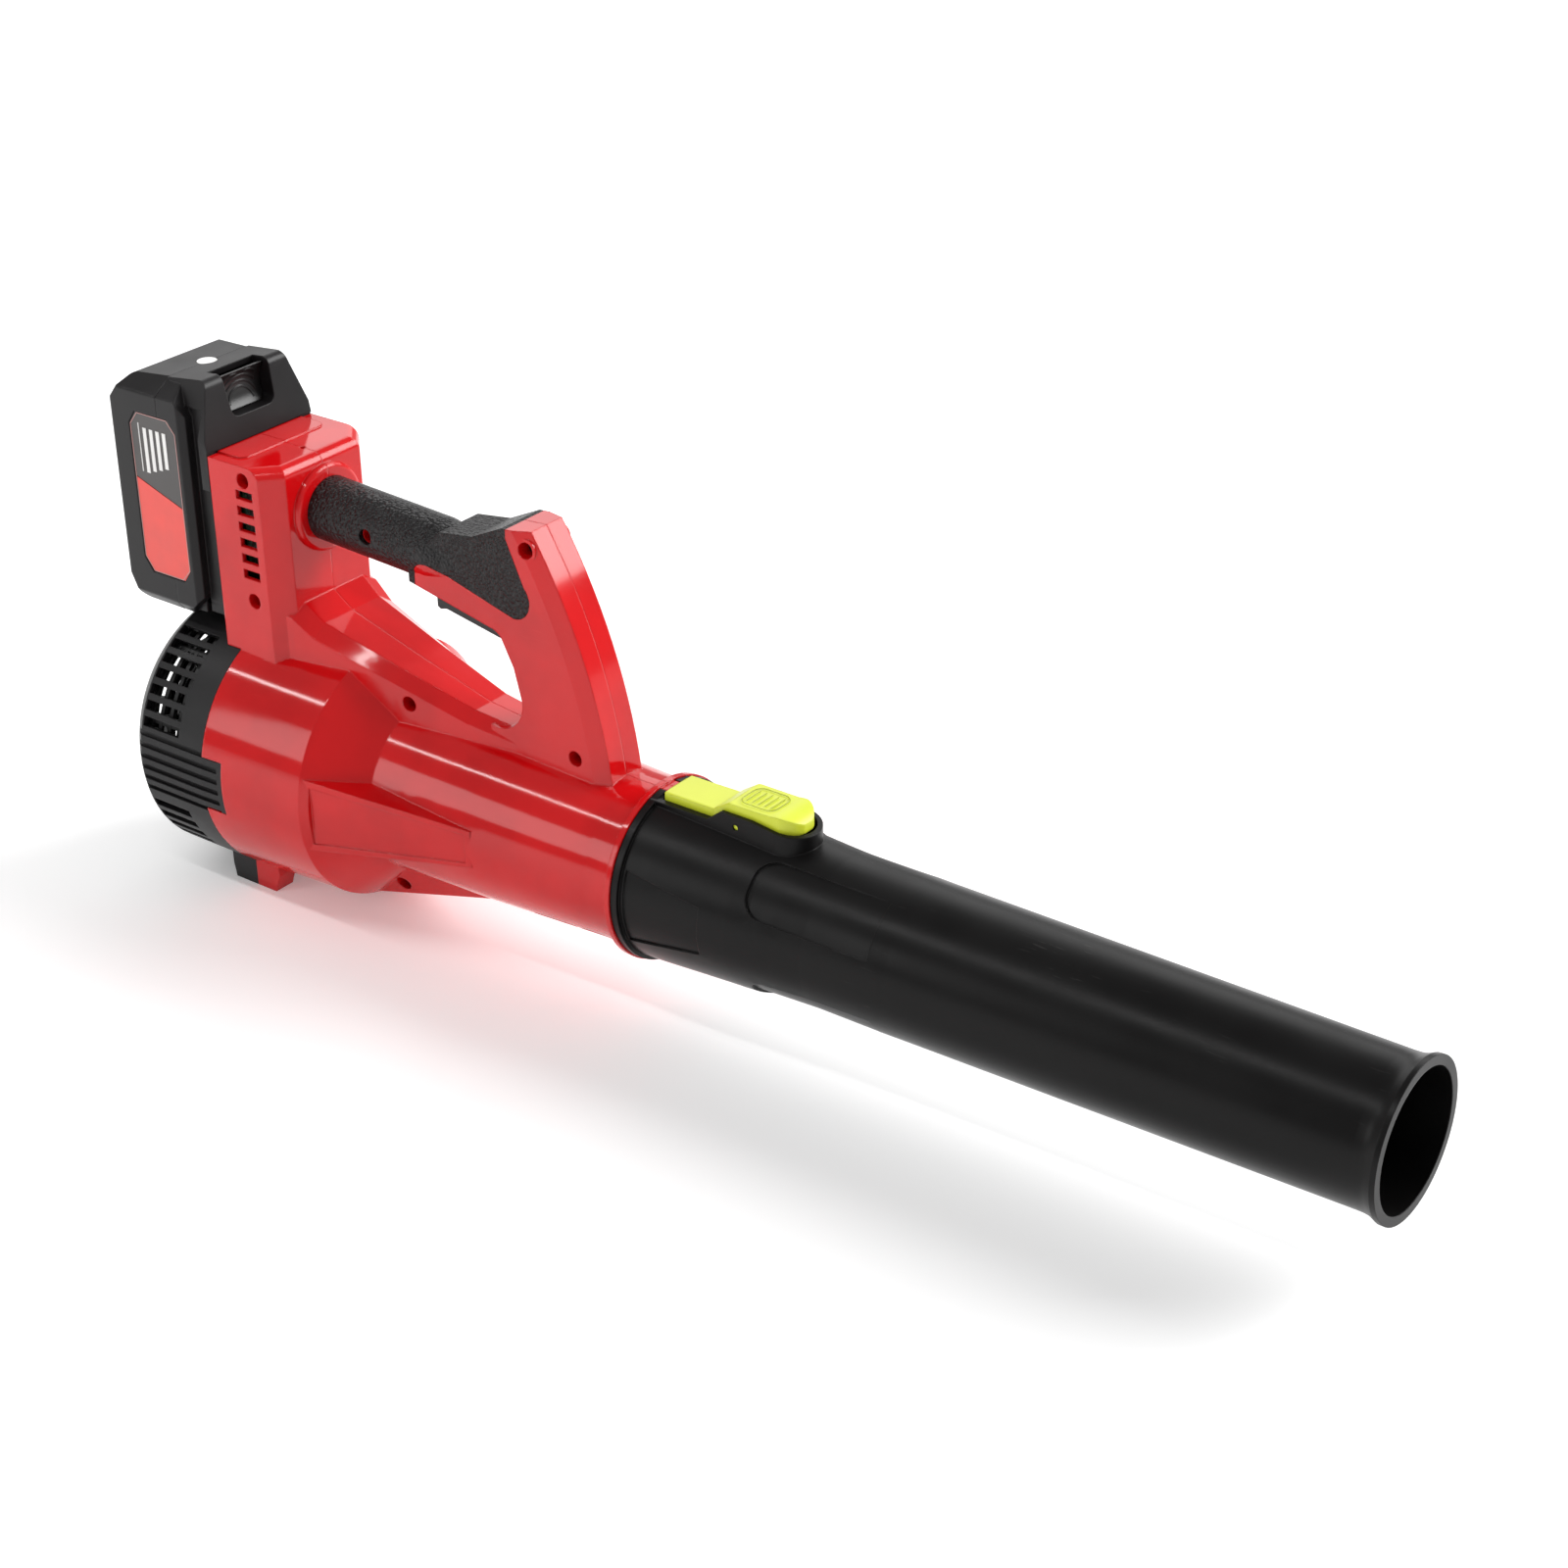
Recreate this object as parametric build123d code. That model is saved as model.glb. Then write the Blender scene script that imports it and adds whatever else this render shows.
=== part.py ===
from build123d import *
import math
import os

# Cordless leaf blower. Sizes are millimetres. The pieces are drawn about the blower's axis: x runs
# forwards from the front of the outlet collar, y to the tool's left, z up. OUT_X and OUT_Z then carry
# them to the part's frame, whose origin is under the middle of the tool at the level of its feet.

# Fits
GAP = 0.3
RUNNING = 0.03
WALL = 2.5

# Housing: drum, shoulder and outlet tube
DRUM_REAR_X = -246.7
DRUM_REAR_R = 71.2
DRUM_FRONT_X = -181.0
DRUM_FRONT_R = 68.65
SHOULDER_X = -153.0
SHOULDER_R = 47.2
TUBE_MID_X = -93.0
TUBE_MID_R = 45.4
TUBE_FRONT_X = -19.0
TUBE_FRONT_R = 42.25
COLLAR_R = 46.35
COLLAR_WIDTH = 3.0
SOCKET_R = 39.75
SOCKET_DEPTH = 34.0
TUBE_SLOT_X = ((-62.0, -36.0), (-33.0, -8.0))
TUBE_SLOT_ANGLES = (48.0, 132.0)
TUBE_SLOT_DEPTH = 0.7
FOOT_DROP = 73.0
FOOT_HALF_SPREAD = 41.0
FOOT_WIDTH = 12.0
FOOT_REAR_X = -264.0
FOOT_FRONT_X = -230.0

# Housing: block, rail, strut and grip
BLOCK_REAR_X = -256.0
BLOCK_FRONT_X = -213.0
BLOCK_HALF_WIDTH = 35.9
BLOCK_TOP_Z = 164.0
BLOCK_CORNER = 9.5
HANDLE_HALF_WIDTH = 14.0
STRUT_CHAMFER_SIDE = 3.0
STRUT_CHAMFER_FRONT = 9.0
STRUT_FOOT_X = -24.5
CAP_TOP_Z = 161.6
GRIP_R = 16.5
GRIP_REAR_Z = 136.3
GRIP_FRONT_Z = 131.8
GRIP_FRONT_X = -135.0
GRIP_END_X = -112.0
OVERMOULD = 3.0
CORE_WALL = 2.2

# Intake
GRILLE_WALL = 3.0
GRILLE_BEND_X = -291.0
GRILLE_REAR_X = -312.0
GRILLE_REAR_R = 46.7
SPIGOT_R = 68.3
TAB_FRONT_X = -233.5
TAB_HALF_WIDTH = 14.5
BASKET_R = 65.3
BASKET_WALL = 1.8
BASKET_REAR_X = -291.5

# Fan and motor
SHROUD_R = 65.7
SHROUD_WALL = 2.2
SHROUD_REAR_X = -240.6
SHROUD_FRONT_X = -185.0
TIP_GAP = 0.6
HUB_R = 24.0
HUB_REAR_X = -232.0
HUB_FRONT_X = -213.5
BLADES = 9
VANES = 7
CUP_R = 25.0
CUP_WALL = 2.4
CUP_REAR_X = -209.7
CUP_FRONT_X = -154.0
CAN_R = 22.2
CAN_WALL = 1.6
CAN_REAR_X = -207.0
CAN_FRONT_X = -160.0
SHAFT_R = 2.5
SHAFT_REAR_X = -238.0
SHAFT_FRONT_X = -159.0
BEARING_R = 6.5
BEARING_WIDTH = 5.0
STATOR_BORE_R = 13.0
MAGNET_R = 12.3
CORE_REAR_X = -196.0
CORE_FRONT_X = -173.0
MOTOR_SCREW_Y = (14.0, -14.0)

# Nozzle
NOZZLE_LIP_X = 392.7
NOZZLE_LIP_R = 37.75
MOUTH_R = 33.0
MOUTH_LENGTH = 30.0
NOZZLE_WALL = 2.3
RECESS_REAR_X = 71.0
RECESS_FRONT_X = 140.0
RECESS_HALF_WIDTH = 14.5
RECESS_CORNER = 10.0
RECESS_FLOOR_R = 39.2
RECESS_ANGLES = (46.0, -46.0, 143.0, -143.0)
FLANGE_R = 45.5
FLANGE_FRONT_X = 4.0
SPIGOT_LENGTH = 33.0

# Latch
BOSS_HALF_WIDTH = 14.2
BOSS_FRONT_X = 88.0
BOSS_LOW_Z = 43.6
BOSS_HIGH_Z = 50.0
BOSS_STEP_X = 40.0
LEVER_REAR_X = 6.5
LEVER_FRONT_X = 83.4
LEVER_HALF_WIDTH = 10.5
PAD_HALF_WIDTH = 11.6
LATCH_PIN_X = 51.5
LATCH_PIN_Z = 44.2
LATCH_PIN_R = 1.5
CATCH_TOP_Z = 45.0

# Trigger
TRIGGER_HALF_WIDTH = 7.4
TRIGGER_PIN_X = -94.5
TRIGGER_PIN_Z = 112.5
TRIGGER_PIN_R = 1.5
PLUNGER_X = -121.5
PLUNGER_R = 2.4
SWITCH_HALF_WIDTH = 7.5
SWITCH_BOTTOM_Z = 126.6
TRIGGER_TOP_Z = 120.0
TERMINAL_Y = (-8.0, 0.0, 8.0)

# Control board in the block
BOARD_THICK = 1.6
BOARD_FACE_X = BLOCK_REAR_X + WALL + 6.5 + BOARD_THICK

# Battery pack
PACK_REAR_X = -326.0
PACK_SEAM_X = -288.0
PACK_FRONT_X = -271.0
PACK_HALF_WIDTH = 37.5
PACK_BOTTOM_Z = 72.0
PACK_TOP_Z = 196.3
PACK_REAR_TOP_Z = 194.7
PACK_WALL = 2.5
PACK_BEVEL = 4.5
PACK_ROUND = 6.0
HEAD_TOP_Z = 198.8
HEAD_TOP_HALF_WIDTH = 26.8
NECK_HALF_WIDTH = 30.0
CELL_R = 9.2
CELL_LENGTH = 65.0
CELL_ROWS = 5
CELL_PITCH = 19.6
CELL_X = (-311.5, -291.9)
CELL_LOW_Z = 94.0
BUTTON_TRAVEL = 5.0
BUTTON_LOW_Z = 177.0
BUTTON_BACK_X = -267.6
BUTTON_SPRING_Z = 187.0
BUTTON_ROOM_REAR_X = -280.6

# Screws
SCREW_SHANK_R = 1.75
SCREW_HEAD_R = 3.3
SCREW_HOLE_R = 4.0
BOSS_R = 5.6
PILOT_R = 1.8

OUT_X = -(PACK_REAR_X + NOZZLE_LIP_X) / 2
OUT_Z = FOOT_DROP

parts = {}


def span(x0, x1, y0, y1, z0, z1):
    """A block between two corners."""
    middle = Pos((x0 + x1) / 2, (y0 + y1) / 2, (z0 + z1) / 2)
    return middle * Box(x1 - x0, y1 - y0, z1 - z0)


def rod_x(radius, x0, x1, y=0.0, z=0.0):
    return Pos((x0 + x1) / 2, y, z) * Rot(0, 90, 0) * Cylinder(radius, x1 - x0)


def rod_y(radius, y0, y1, x, z):
    return Pos(x, (y0 + y1) / 2, z) * Rot(90, 0, 0) * Cylinder(radius, y1 - y0)


def rod_z(radius, z0, z1, x=0.0, y=0.0):
    return Pos(x, y, (z0 + z1) / 2) * Cylinder(radius, z1 - z0)


def turned(*points):
    """The solid that an outline of (x, radius) points sweeps about the blower's axis."""
    return revolve(make_face(Polyline(*points, close=True)), axis=Axis.X)


def joined(*curves):
    """A flat face inside curves that meet end to end."""
    return make_face([edge for curve in curves for edge in curve.edges()])


def outline(*points):
    return make_face(Polyline(*points, close=True))


def side_plate(face, y0, y1):
    """A face drawn in x and z, given thickness from y0 to y1."""
    return Pos(0, y1, 0) * extrude(Plane.XZ * face, amount=y1 - y0)


def level_plate(face, z0, z1):
    return Pos(0, 0, z0) * extrude(face, amount=z1 - z0)


def cross_loft(*sections):
    """A straight-sided loft through (x, outline points in y and z) sections."""
    faces = [Plane.YZ.offset(x) * outline(*points) for x, points in sections]
    return loft(faces, ruled=True)


def ring_of(piece, count, start=0.0):
    """Copies of a piece turned about the blower's axis."""
    return [Rot(start + 360.0 * i / count, 0, 0) * piece for i in range(count)]


def spring(radius, wire, turns, length):
    """A coil spring standing on z = 0."""
    path = Helix(pitch=length / turns, height=length, radius=radius)
    return sweep(Plane(origin=path @ 0, z_dir=path % 0) * Circle(wire / 2), path=path)


def mirrored(piece):
    return mirror(piece, about=Plane.XZ)


def both_sides(piece):
    return piece + mirrored(piece)


def add(name, *pieces):
    """Keep a node: its pieces, carried to the part's frame."""
    solids = [solid for piece in pieces for solid in piece.solids()]
    moved = [Pos(OUT_X, 0, OUT_Z) * solid for solid in solids]
    parts[name] = moved[0] if len(moved) == 1 else Compound(children=moved)


# ---------------------------------------------------------------- housing envelope


def barrel(inset):
    """Drum, shoulder and tube as one turned body."""
    shift = inset * 0.6
    return turned(
        (DRUM_REAR_X, 0),
        (DRUM_REAR_X, DRUM_REAR_R - inset),
        (DRUM_FRONT_X - shift, DRUM_FRONT_R - inset),
        (SHOULDER_X - shift, SHOULDER_R - inset),
        (TUBE_MID_X, TUBE_MID_R - inset),
        (TUBE_FRONT_X, TUBE_FRONT_R - inset),
        (0, TUBE_FRONT_R - inset),
        (0, 0),
    )


def side_fin(inset):
    """The flat-sided wedge on the drum's front at one side, on -y."""
    rear = DRUM_FRONT_X - 3
    front = TUBE_MID_X + 5
    deep = 65.6 - inset
    tip = 44.8 - inset
    return cross_loft(
        (rear, [(-30, 20.3 - inset), (-deep, 20.3 - inset), (-deep, inset - 20.3), (-30, inset - 20.3)]),
        (front, [(-30, 11 - inset), (-tip, 11 - inset), (-tip, inset - 9), (-30, inset - 9)]),
    )


def keel(inset):
    """The wedge under the shoulder."""
    rear = DRUM_FRONT_X - 3
    front = TUBE_MID_X
    low = inset - 65.5
    tip = inset - 45.2
    return cross_loft(
        (rear, [(-20 + inset, low), (20 - inset, low), (34 - inset, -30), (-34 + inset, -30)]),
        (front, [(-10.5 + inset, tip), (10.5 - inset, tip), (18 - inset, -30), (-18 + inset, -30)]),
    )


def rail(inset):
    """The lower rail of the handle, from the block forwards to the strut."""

    def section(x, side, ridge, top):
        side -= inset
        ridge -= inset * 0.8
        top -= inset
        return (x, [(-side, 25), (side, 25), (side, top - 6), (ridge, top), (-ridge, top), (-side, top - 6)])

    return cross_loft(
        section(BLOCK_FRONT_X - 12, 31.0, 21.5, 94.0),
        section(BLOCK_FRONT_X, 30.0, 20.8, 91.0),
        section(BLOCK_FRONT_X + 12, 28.2, 19.6, 82.5),
        section(SHOULDER_X - 2, 21.5, 15.3, 69.0),
        section(-110, 16.8, 11.1, 56.9),
        section(-82, 14.0, 9.5, 53.5),
    )


def handle_face(inset):
    """Side outline of the strut, its cap and the slab under the grip's front."""
    face = joined(
        Polyline((-146, 117.5), (-146, 128), (-124, 148.6), (-103, 151.5), (-84, 160.4), (-67.5, CAP_TOP_Z)),
        ThreePointArc((-67.5, CAP_TOP_Z), (-42.5, 112), (STRUT_FOOT_X, 41)),
        Polyline((STRUT_FOOT_X, 41), (STRUT_FOOT_X, 30), (-98, 30), (-98, 54)),
        ThreePointArc((-98, 54), (-81.5, 58.5), (-77, 73)),
        Polyline((-77, 73), (-81, 89), (-87, 101)),
        ThreePointArc((-87, 101), (-89.5, 104.5), (-94, 106.5)),
        Line((-94, 106.5), (-146, 117.5)),
    )
    if inset > 0:
        face = offset(face, amount=-inset, kind=Kind.INTERSECTION)
    return face


def handle_slab(inset):
    """Strut and slab, with the long chamfers down the strut's front."""
    half = HANDLE_HALF_WIDTH - inset
    slab = side_plate(handle_face(inset), -half, half)
    if inset > 0:
        return slab
    for side in (0, -1):
        flat = slab.faces().sort_by(Axis.Y)[side]
        arc = flat.edges().filter_by(GeomType.CIRCLE).sort_by(Axis.X)[-1]
        slab = chamfer(arc, STRUT_CHAMFER_FRONT, STRUT_CHAMFER_SIDE, reference=flat)
    return slab


def grip_bar(inset):
    """The round grip, running into the slab at its front."""
    rings = (
        (BLOCK_FRONT_X - 6, GRIP_REAR_Z, GRIP_R),
        (GRIP_FRONT_X, GRIP_FRONT_Z, GRIP_R),
        (GRIP_END_X, GRIP_FRONT_Z - 1.3, HANDLE_HALF_WIDTH - 0.3),
    )
    faces = [Plane.YZ.offset(x) * Pos(0, z) * Circle(radius - inset) for x, z, radius in rings]
    return loft(faces, ruled=True)


def block(inset):
    """The tall block that carries the battery."""
    half = BLOCK_HALF_WIDTH
    face = outline(
        (BLOCK_REAR_X, -half),
        (BLOCK_FRONT_X - BLOCK_CORNER, -half),
        (BLOCK_FRONT_X, -half + BLOCK_CORNER + 0.4),
        (BLOCK_FRONT_X, half - BLOCK_CORNER - 0.4),
        (BLOCK_FRONT_X - BLOCK_CORNER, half),
        (BLOCK_REAR_X, half),
    )
    if inset > 0:
        face = offset(face, amount=-inset, kind=Kind.INTERSECTION)
    body = level_plate(face, 45, BLOCK_TOP_Z - inset)
    top = body.faces().sort_by(Axis.Z)[-1]
    front = [edge for edge in top.edges() if edge.center().X > BLOCK_REAR_X + 25]
    over_grille = rod_x(DRUM_REAR_R + GAP + inset, BLOCK_REAR_X - 5, DRUM_REAR_X + inset)
    return fillet(front, 6.0 - inset) - over_grille


def grip_ring():
    """The raised ring where the grip enters the block."""
    ring = rod_x(22.6, BLOCK_FRONT_X - 3, BLOCK_FRONT_X + 3.2, 0, GRIP_REAR_Z - 0.3)
    return fillet(ring.edges().sort_by(Axis.X)[-1:], 2.4)


def block_pad():
    """The slightly raised field on the block's top, under the battery's head."""
    pad = span(BLOCK_REAR_X, BLOCK_REAR_X + 17.5, -29, 29, BLOCK_TOP_Z - 2, BLOCK_TOP_Z + 0.8)
    return fillet(pad.edges().filter_by(Axis.Z).sort_by(Axis.X)[-2:], 5)


def grip_region():
    """Where the over-moulded grip lies, in side view: the round grip and the tongue on the strut."""
    rear = BLOCK_FRONT_X + 2
    face = joined(
        Polyline((rear, 100), (rear, 175), (-80.3, 175), (-81.5, 156), (-71.5, 133)),
        ThreePointArc((-71.5, 133), (-70, 120.5), (-79, 115.3)),
        Polyline((-79, 115.3), (-90, 118.2), (-130, 129.3)),
        ThreePointArc((-130, 129.3), (-138.5, 128.3), (-142, 121)),
        Polyline((-142, 121), (-142.5, 100), (rear, 100)),
    )
    return side_plate(face, -30, 30)


# x, z and the housing's half width there
HOUSING_SCREWS = {
    "strut_top": (-69.8, 152.3, HANDLE_HALF_WIDTH),
    "strut_foot": (-44.7, 50.8, HANDLE_HALF_WIDTH),
    "rail": (-146.0, 53.5, 20.6),
    "block_top": (-232.7, 156.5, BLOCK_HALF_WIDTH),
    "block_low": (-232.7, 91.9, BLOCK_HALF_WIDTH),
    "grip": (-171.5, 135.0, GRIP_R),
    "keel": (-160.0, -53.0, 24.0),
}
SCREW_FLOOR = 5.0
SCREW_REACH = 9.0


def screw_post(x, z, half):
    return rod_y(BOSS_R, -half + 1.2, half - 1.2, x, z)


def screw_holes(x, z, half):
    """Counterbore from the right, clearance to the middle plane and a pilot beyond it."""
    return (
        rod_y(SCREW_HOLE_R, -half - 8, -SCREW_FLOOR, x, z)
        + rod_y(PILOT_R + 0.2, -SCREW_FLOOR, 0, x, z)
        + rod_y(PILOT_R, 0, SCREW_REACH + 0.5, x, z)
    )


def screw(x, z):
    """A pan-head screw along y with a cross recess."""
    head = rod_y(SCREW_HEAD_R, -SCREW_FLOOR - 2.2, -SCREW_FLOOR, x, z)
    shank = rod_y(SCREW_SHANK_R, -SCREW_FLOOR, SCREW_REACH, x, z)
    slot = span(x - 2, x + 2, -SCREW_FLOOR - 2.3, -SCREW_FLOOR - 1.0, z - 0.4, z + 0.4)
    cross = span(x - 0.4, x + 0.4, -SCREW_FLOOR - 2.3, -SCREW_FLOOR - 1.0, z - 2, z + 2)
    return head + shank - slot - cross


def foot(front):
    """One of the two feet under the drum: its front part, or the rear part on the grille."""
    x0, x1 = (DRUM_REAR_X, FOOT_FRONT_X) if front else (FOOT_REAR_X, DRUM_REAR_X - GAP / 2)
    out = FOOT_HALF_SPREAD
    bottom = -FOOT_DROP
    body = span(x0, x1, -out, -out + FOOT_WIDTH, bottom, -48)
    if front:
        slope = side_plate(outline((x1 - 3.5, bottom), (x1 + 1, bottom), (x1 + 1, -60)), -60, 0)
        body = body - slope
    else:
        slope = side_plate(outline((x0 + 1.5, bottom), (x0 - 1, bottom), (x0 - 1, -60)), -60, 0)
        body = body - slope
    return both_sides(body)


def foot_screw(y):
    z = -FOOT_DROP + 5.2
    x = FOOT_REAR_X
    head = rod_x(2.6, x + 4, x + 6, y, z)
    shank = rod_x(1.5, x + 6, DRUM_REAR_X + 10, y, z)
    return head + shank - span(x + 3, x + 4.9, y - 1.7, y + 1.7, z - 0.35, z + 0.35)


FOOT_SCREW_Y = FOOT_HALF_SPREAD - FOOT_WIDTH / 2


def foot_screw_hole(y):
    z = -FOOT_DROP + 5.2
    head = rod_x(3.0, FOOT_REAR_X - 5, FOOT_REAR_X + 6, y, z)
    return head + rod_x(1.6, FOOT_REAR_X + 5, DRUM_REAR_X + 10.5, y, z)


def side_slots():
    """Six cooling slots low to high on each side of the block."""
    cuts = []
    for i in range(6):
        z = 103.6 + i * 8.5
        slot = span(-238.4, -227.1, -BLOCK_HALF_WIDTH - 1, -BLOCK_HALF_WIDTH + WALL + 1, z, z + 4.8)
        cuts.append(slot)
        cuts.append(mirrored(slot))
    return cuts


def tube_slots():
    """Two shallow slots low on each side of the tube, behind the collar."""
    ring = turned(
        (TUBE_MID_X, TUBE_MID_R - TUBE_SLOT_DEPTH),
        (TUBE_MID_X, 60),
        (-4, 60),
        (-4, TUBE_FRONT_R - TUBE_SLOT_DEPTH),
        (TUBE_FRONT_X, TUBE_FRONT_R - TUBE_SLOT_DEPTH),
    )
    slots = [span(x0, x1, -60, -20, -1.7, 1.7) & ring for x0, x1 in TUBE_SLOT_X]
    return [Rot(angle, 0, 0) * slot for slot in slots for angle in TUBE_SLOT_ANGLES]


def fin_panel():
    """The shallow recessed panel in each side fin's flat face."""
    deep = 65.6
    tip = 44.8
    depth = 0.8

    def section(x, low, high, t):
        y = -(deep + (tip - deep) * t)
        return (x, [(y - 3, low), (y + depth, low), (y + depth, high), (y - 3, high)])

    rear = section(DRUM_FRONT_X + 4, -15.8, 15.8, 0.075)
    front = section(TUBE_MID_X + 1.5, -7.2, 8.4, 0.96)
    return both_sides(cross_loft(rear, front))


def wire_port():
    """The hole in the shoulder for the motor's leads."""
    return span(-181, -171, -7, 7, 55, 72)


def battery_rails():
    """The block's two T rails and their end stop, which the battery slides down onto."""
    rails = []
    for y in (17.0, -17.0):
        rails.append(span(BLOCK_REAR_X - 6, BLOCK_REAR_X + 1, y - 2, y + 2, 90, 150))
        rails.append(span(BLOCK_REAR_X - 9, BLOCK_REAR_X - 6, y - 5, y + 5, 90, 150))
    return rails


def trigger_slot():
    return span(-137.5, TRIGGER_PIN_X + 5.5, -TRIGGER_HALF_WIDTH - 0.5, TRIGGER_HALF_WIDTH + 0.5, 96, 123)


def housing():
    """Both red halves, still joined, and the over-moulded grip."""
    region = grip_region()
    handle = handle_slab(0) + grip_bar(0)
    core = handle_slab(OVERMOULD) + grip_bar(OVERMOULD)
    grip = (handle & region) - core
    hollow = OVERMOULD + CORE_WALL

    outer = barrel(0) + turned((-COLLAR_WIDTH, 0), (-COLLAR_WIDTH, COLLAR_R), (0, COLLAR_R), (0, 0))
    skin = outer + side_fin(0) + mirrored(side_fin(0)) + keel(0)
    skin = skin + rail(0) + block(0) + block_pad() + foot(True)
    body = skin + (handle - region) + core + grip_ring()
    grip = grip - grip_ring() - block(0)

    duct = barrel(WALL) + side_fin(WALL) + mirrored(side_fin(WALL)) + keel(WALL)
    step = span(-SOCKET_DEPTH - WALL, 0, -60, 60, -60, 60)
    seat = turned(
        (-SOCKET_DEPTH - WALL, 0),
        (-SOCKET_DEPTH - WALL, SOCKET_R - WALL),
        (-SOCKET_DEPTH, SOCKET_R - WALL),
        (-SOCKET_DEPTH, SOCKET_R),
        (1, SOCKET_R),
        (1, 0),
    )
    duct = (duct - step) + seat
    room = rail(WALL) + block(WALL) + handle_slab(hollow) + grip_bar(hollow)
    room = room - barrel(0)
    body = body - duct - room
    foot_web = foot(True) - barrel(WALL) - span(-270, -180, -70, 70, -48, 0)
    body = body + foot_web

    for name, place in HOUSING_SCREWS.items():
        post = screw_post(*place)
        if name == "grip":
            post = post & grip_bar(OVERMOULD)
        elif name in ("strut_top", "strut_foot"):
            post = post & side_plate(handle_face(0), -HANDLE_HALF_WIDTH, HANDLE_HALF_WIDTH)
        elif name == "keel":
            post = post & keel(0)
        elif name == "rail":
            post = post & rail(0)
        else:
            post = post & block(0)
        body = body + post
    for place in HOUSING_SCREWS.values():
        hole = screw_holes(*place)
        body = body - hole
        grip = grip - rod_y(SCREW_HOLE_R, -30, 0, place[0], place[1])

    for cut in side_slots():
        body = body - cut
    body = body - fin_panel() - wire_port() - rod_z(1.5, BLOCK_TOP_Z - 1.6, BLOCK_TOP_Z + 1, -226, 0)
    for y in (FOOT_SCREW_Y, -FOOT_SCREW_Y):
        body = body - foot_screw_hole(y)
    for bar in battery_rails():
        body = body + bar
    body = body - terminal_window()
    body = body - trigger_slot()
    body = body - tab_notch()
    for slot in tube_slots():
        body = body - slot
    reach = TRIGGER_HALF_WIDTH + 2.3
    body = body - rod_y(TRIGGER_PIN_R, -reach, reach, TRIGGER_PIN_X, TRIGGER_PIN_Z)
    body = body + catch()
    return body, grip


def terminal_window():
    """The opening in the block's rear wall that the terminal block fills."""
    return span(BLOCK_REAR_X - 0.5, BLOCK_REAR_X + WALL + 0.5, -11, 11, 98, 114)


def catch():
    """The low tab ahead of the collar that the latch lever's tooth drops behind."""
    tab = span(-1.5, 14, -5, 5, 43.6, CATCH_TOP_Z)
    return tab - span(8.5, 12, -3.5, 3.5, 40, 50)


def halves(body):
    right = body & span(-400, 100, -120, 0, -150, 250)
    left = body & span(-400, 100, 0, 120, -150, 250)
    return right, left


# ---------------------------------------------------------------- intake


def tab_notch():
    """The notch in the housing's rear edge for each forward tab of the grille."""
    ring = turned(
        (DRUM_REAR_X - 1, SPIGOT_R - 0.15),
        (DRUM_REAR_X - 1, DRUM_REAR_R + 3),
        (TAB_FRONT_X + GAP / 2, DRUM_REAR_R + 3),
        (TAB_FRONT_X + GAP / 2, SPIGOT_R - 0.15),
    )
    half = TAB_HALF_WIDTH + GAP / 2
    return ring & span(-260, -220, -80, 80, -half, half)


def grille_skin():
    """The cage before it is slotted: a shell, its spigot and the ribbed bands' two forward tabs."""
    wall = GRILLE_WALL
    edge = DRUM_REAR_X - GAP / 2
    inner = DRUM_REAR_R - wall
    face = joined(
        Polyline(
            (edge - 8, inner),
            (edge - 8, SPIGOT_R - 1.7),
            (edge + 6, SPIGOT_R - 1.7),
            (edge + 6, SPIGOT_R),
            (TAB_FRONT_X, SPIGOT_R),
            (TAB_FRONT_X, DRUM_REAR_R - 0.6),
            (edge, DRUM_REAR_R),
            (GRILLE_BEND_X, DRUM_REAR_R),
        ),
        ThreePointArc((GRILLE_BEND_X, DRUM_REAR_R), (-303.2, 60.7), (GRILLE_REAR_X, GRILLE_REAR_R)),
        Polyline(
            (GRILLE_REAR_X, GRILLE_REAR_R),
            (GRILLE_REAR_X, 0),
            (GRILLE_REAR_X + wall, 0),
            (GRILLE_REAR_X + wall, GRILLE_REAR_R - 1.5),
        ),
        ThreePointArc(
            (GRILLE_REAR_X + wall, GRILLE_REAR_R - 1.5), (-300.9, 58.7), (GRILLE_BEND_X + 0.8, inner)
        ),
        Line((GRILLE_BEND_X + 0.8, inner), (edge - 8, inner)),
    )
    ahead = turned((edge, SPIGOT_R), (edge, 80), (TAB_FRONT_X + 3, 80), (TAB_FRONT_X + 3, SPIGOT_R))
    between_tabs = ahead - span(-260, -220, -90, 90, -TAB_HALF_WIDTH, TAB_HALF_WIDTH)
    return revolve(face, axis=Axis.X) - between_tabs


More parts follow.
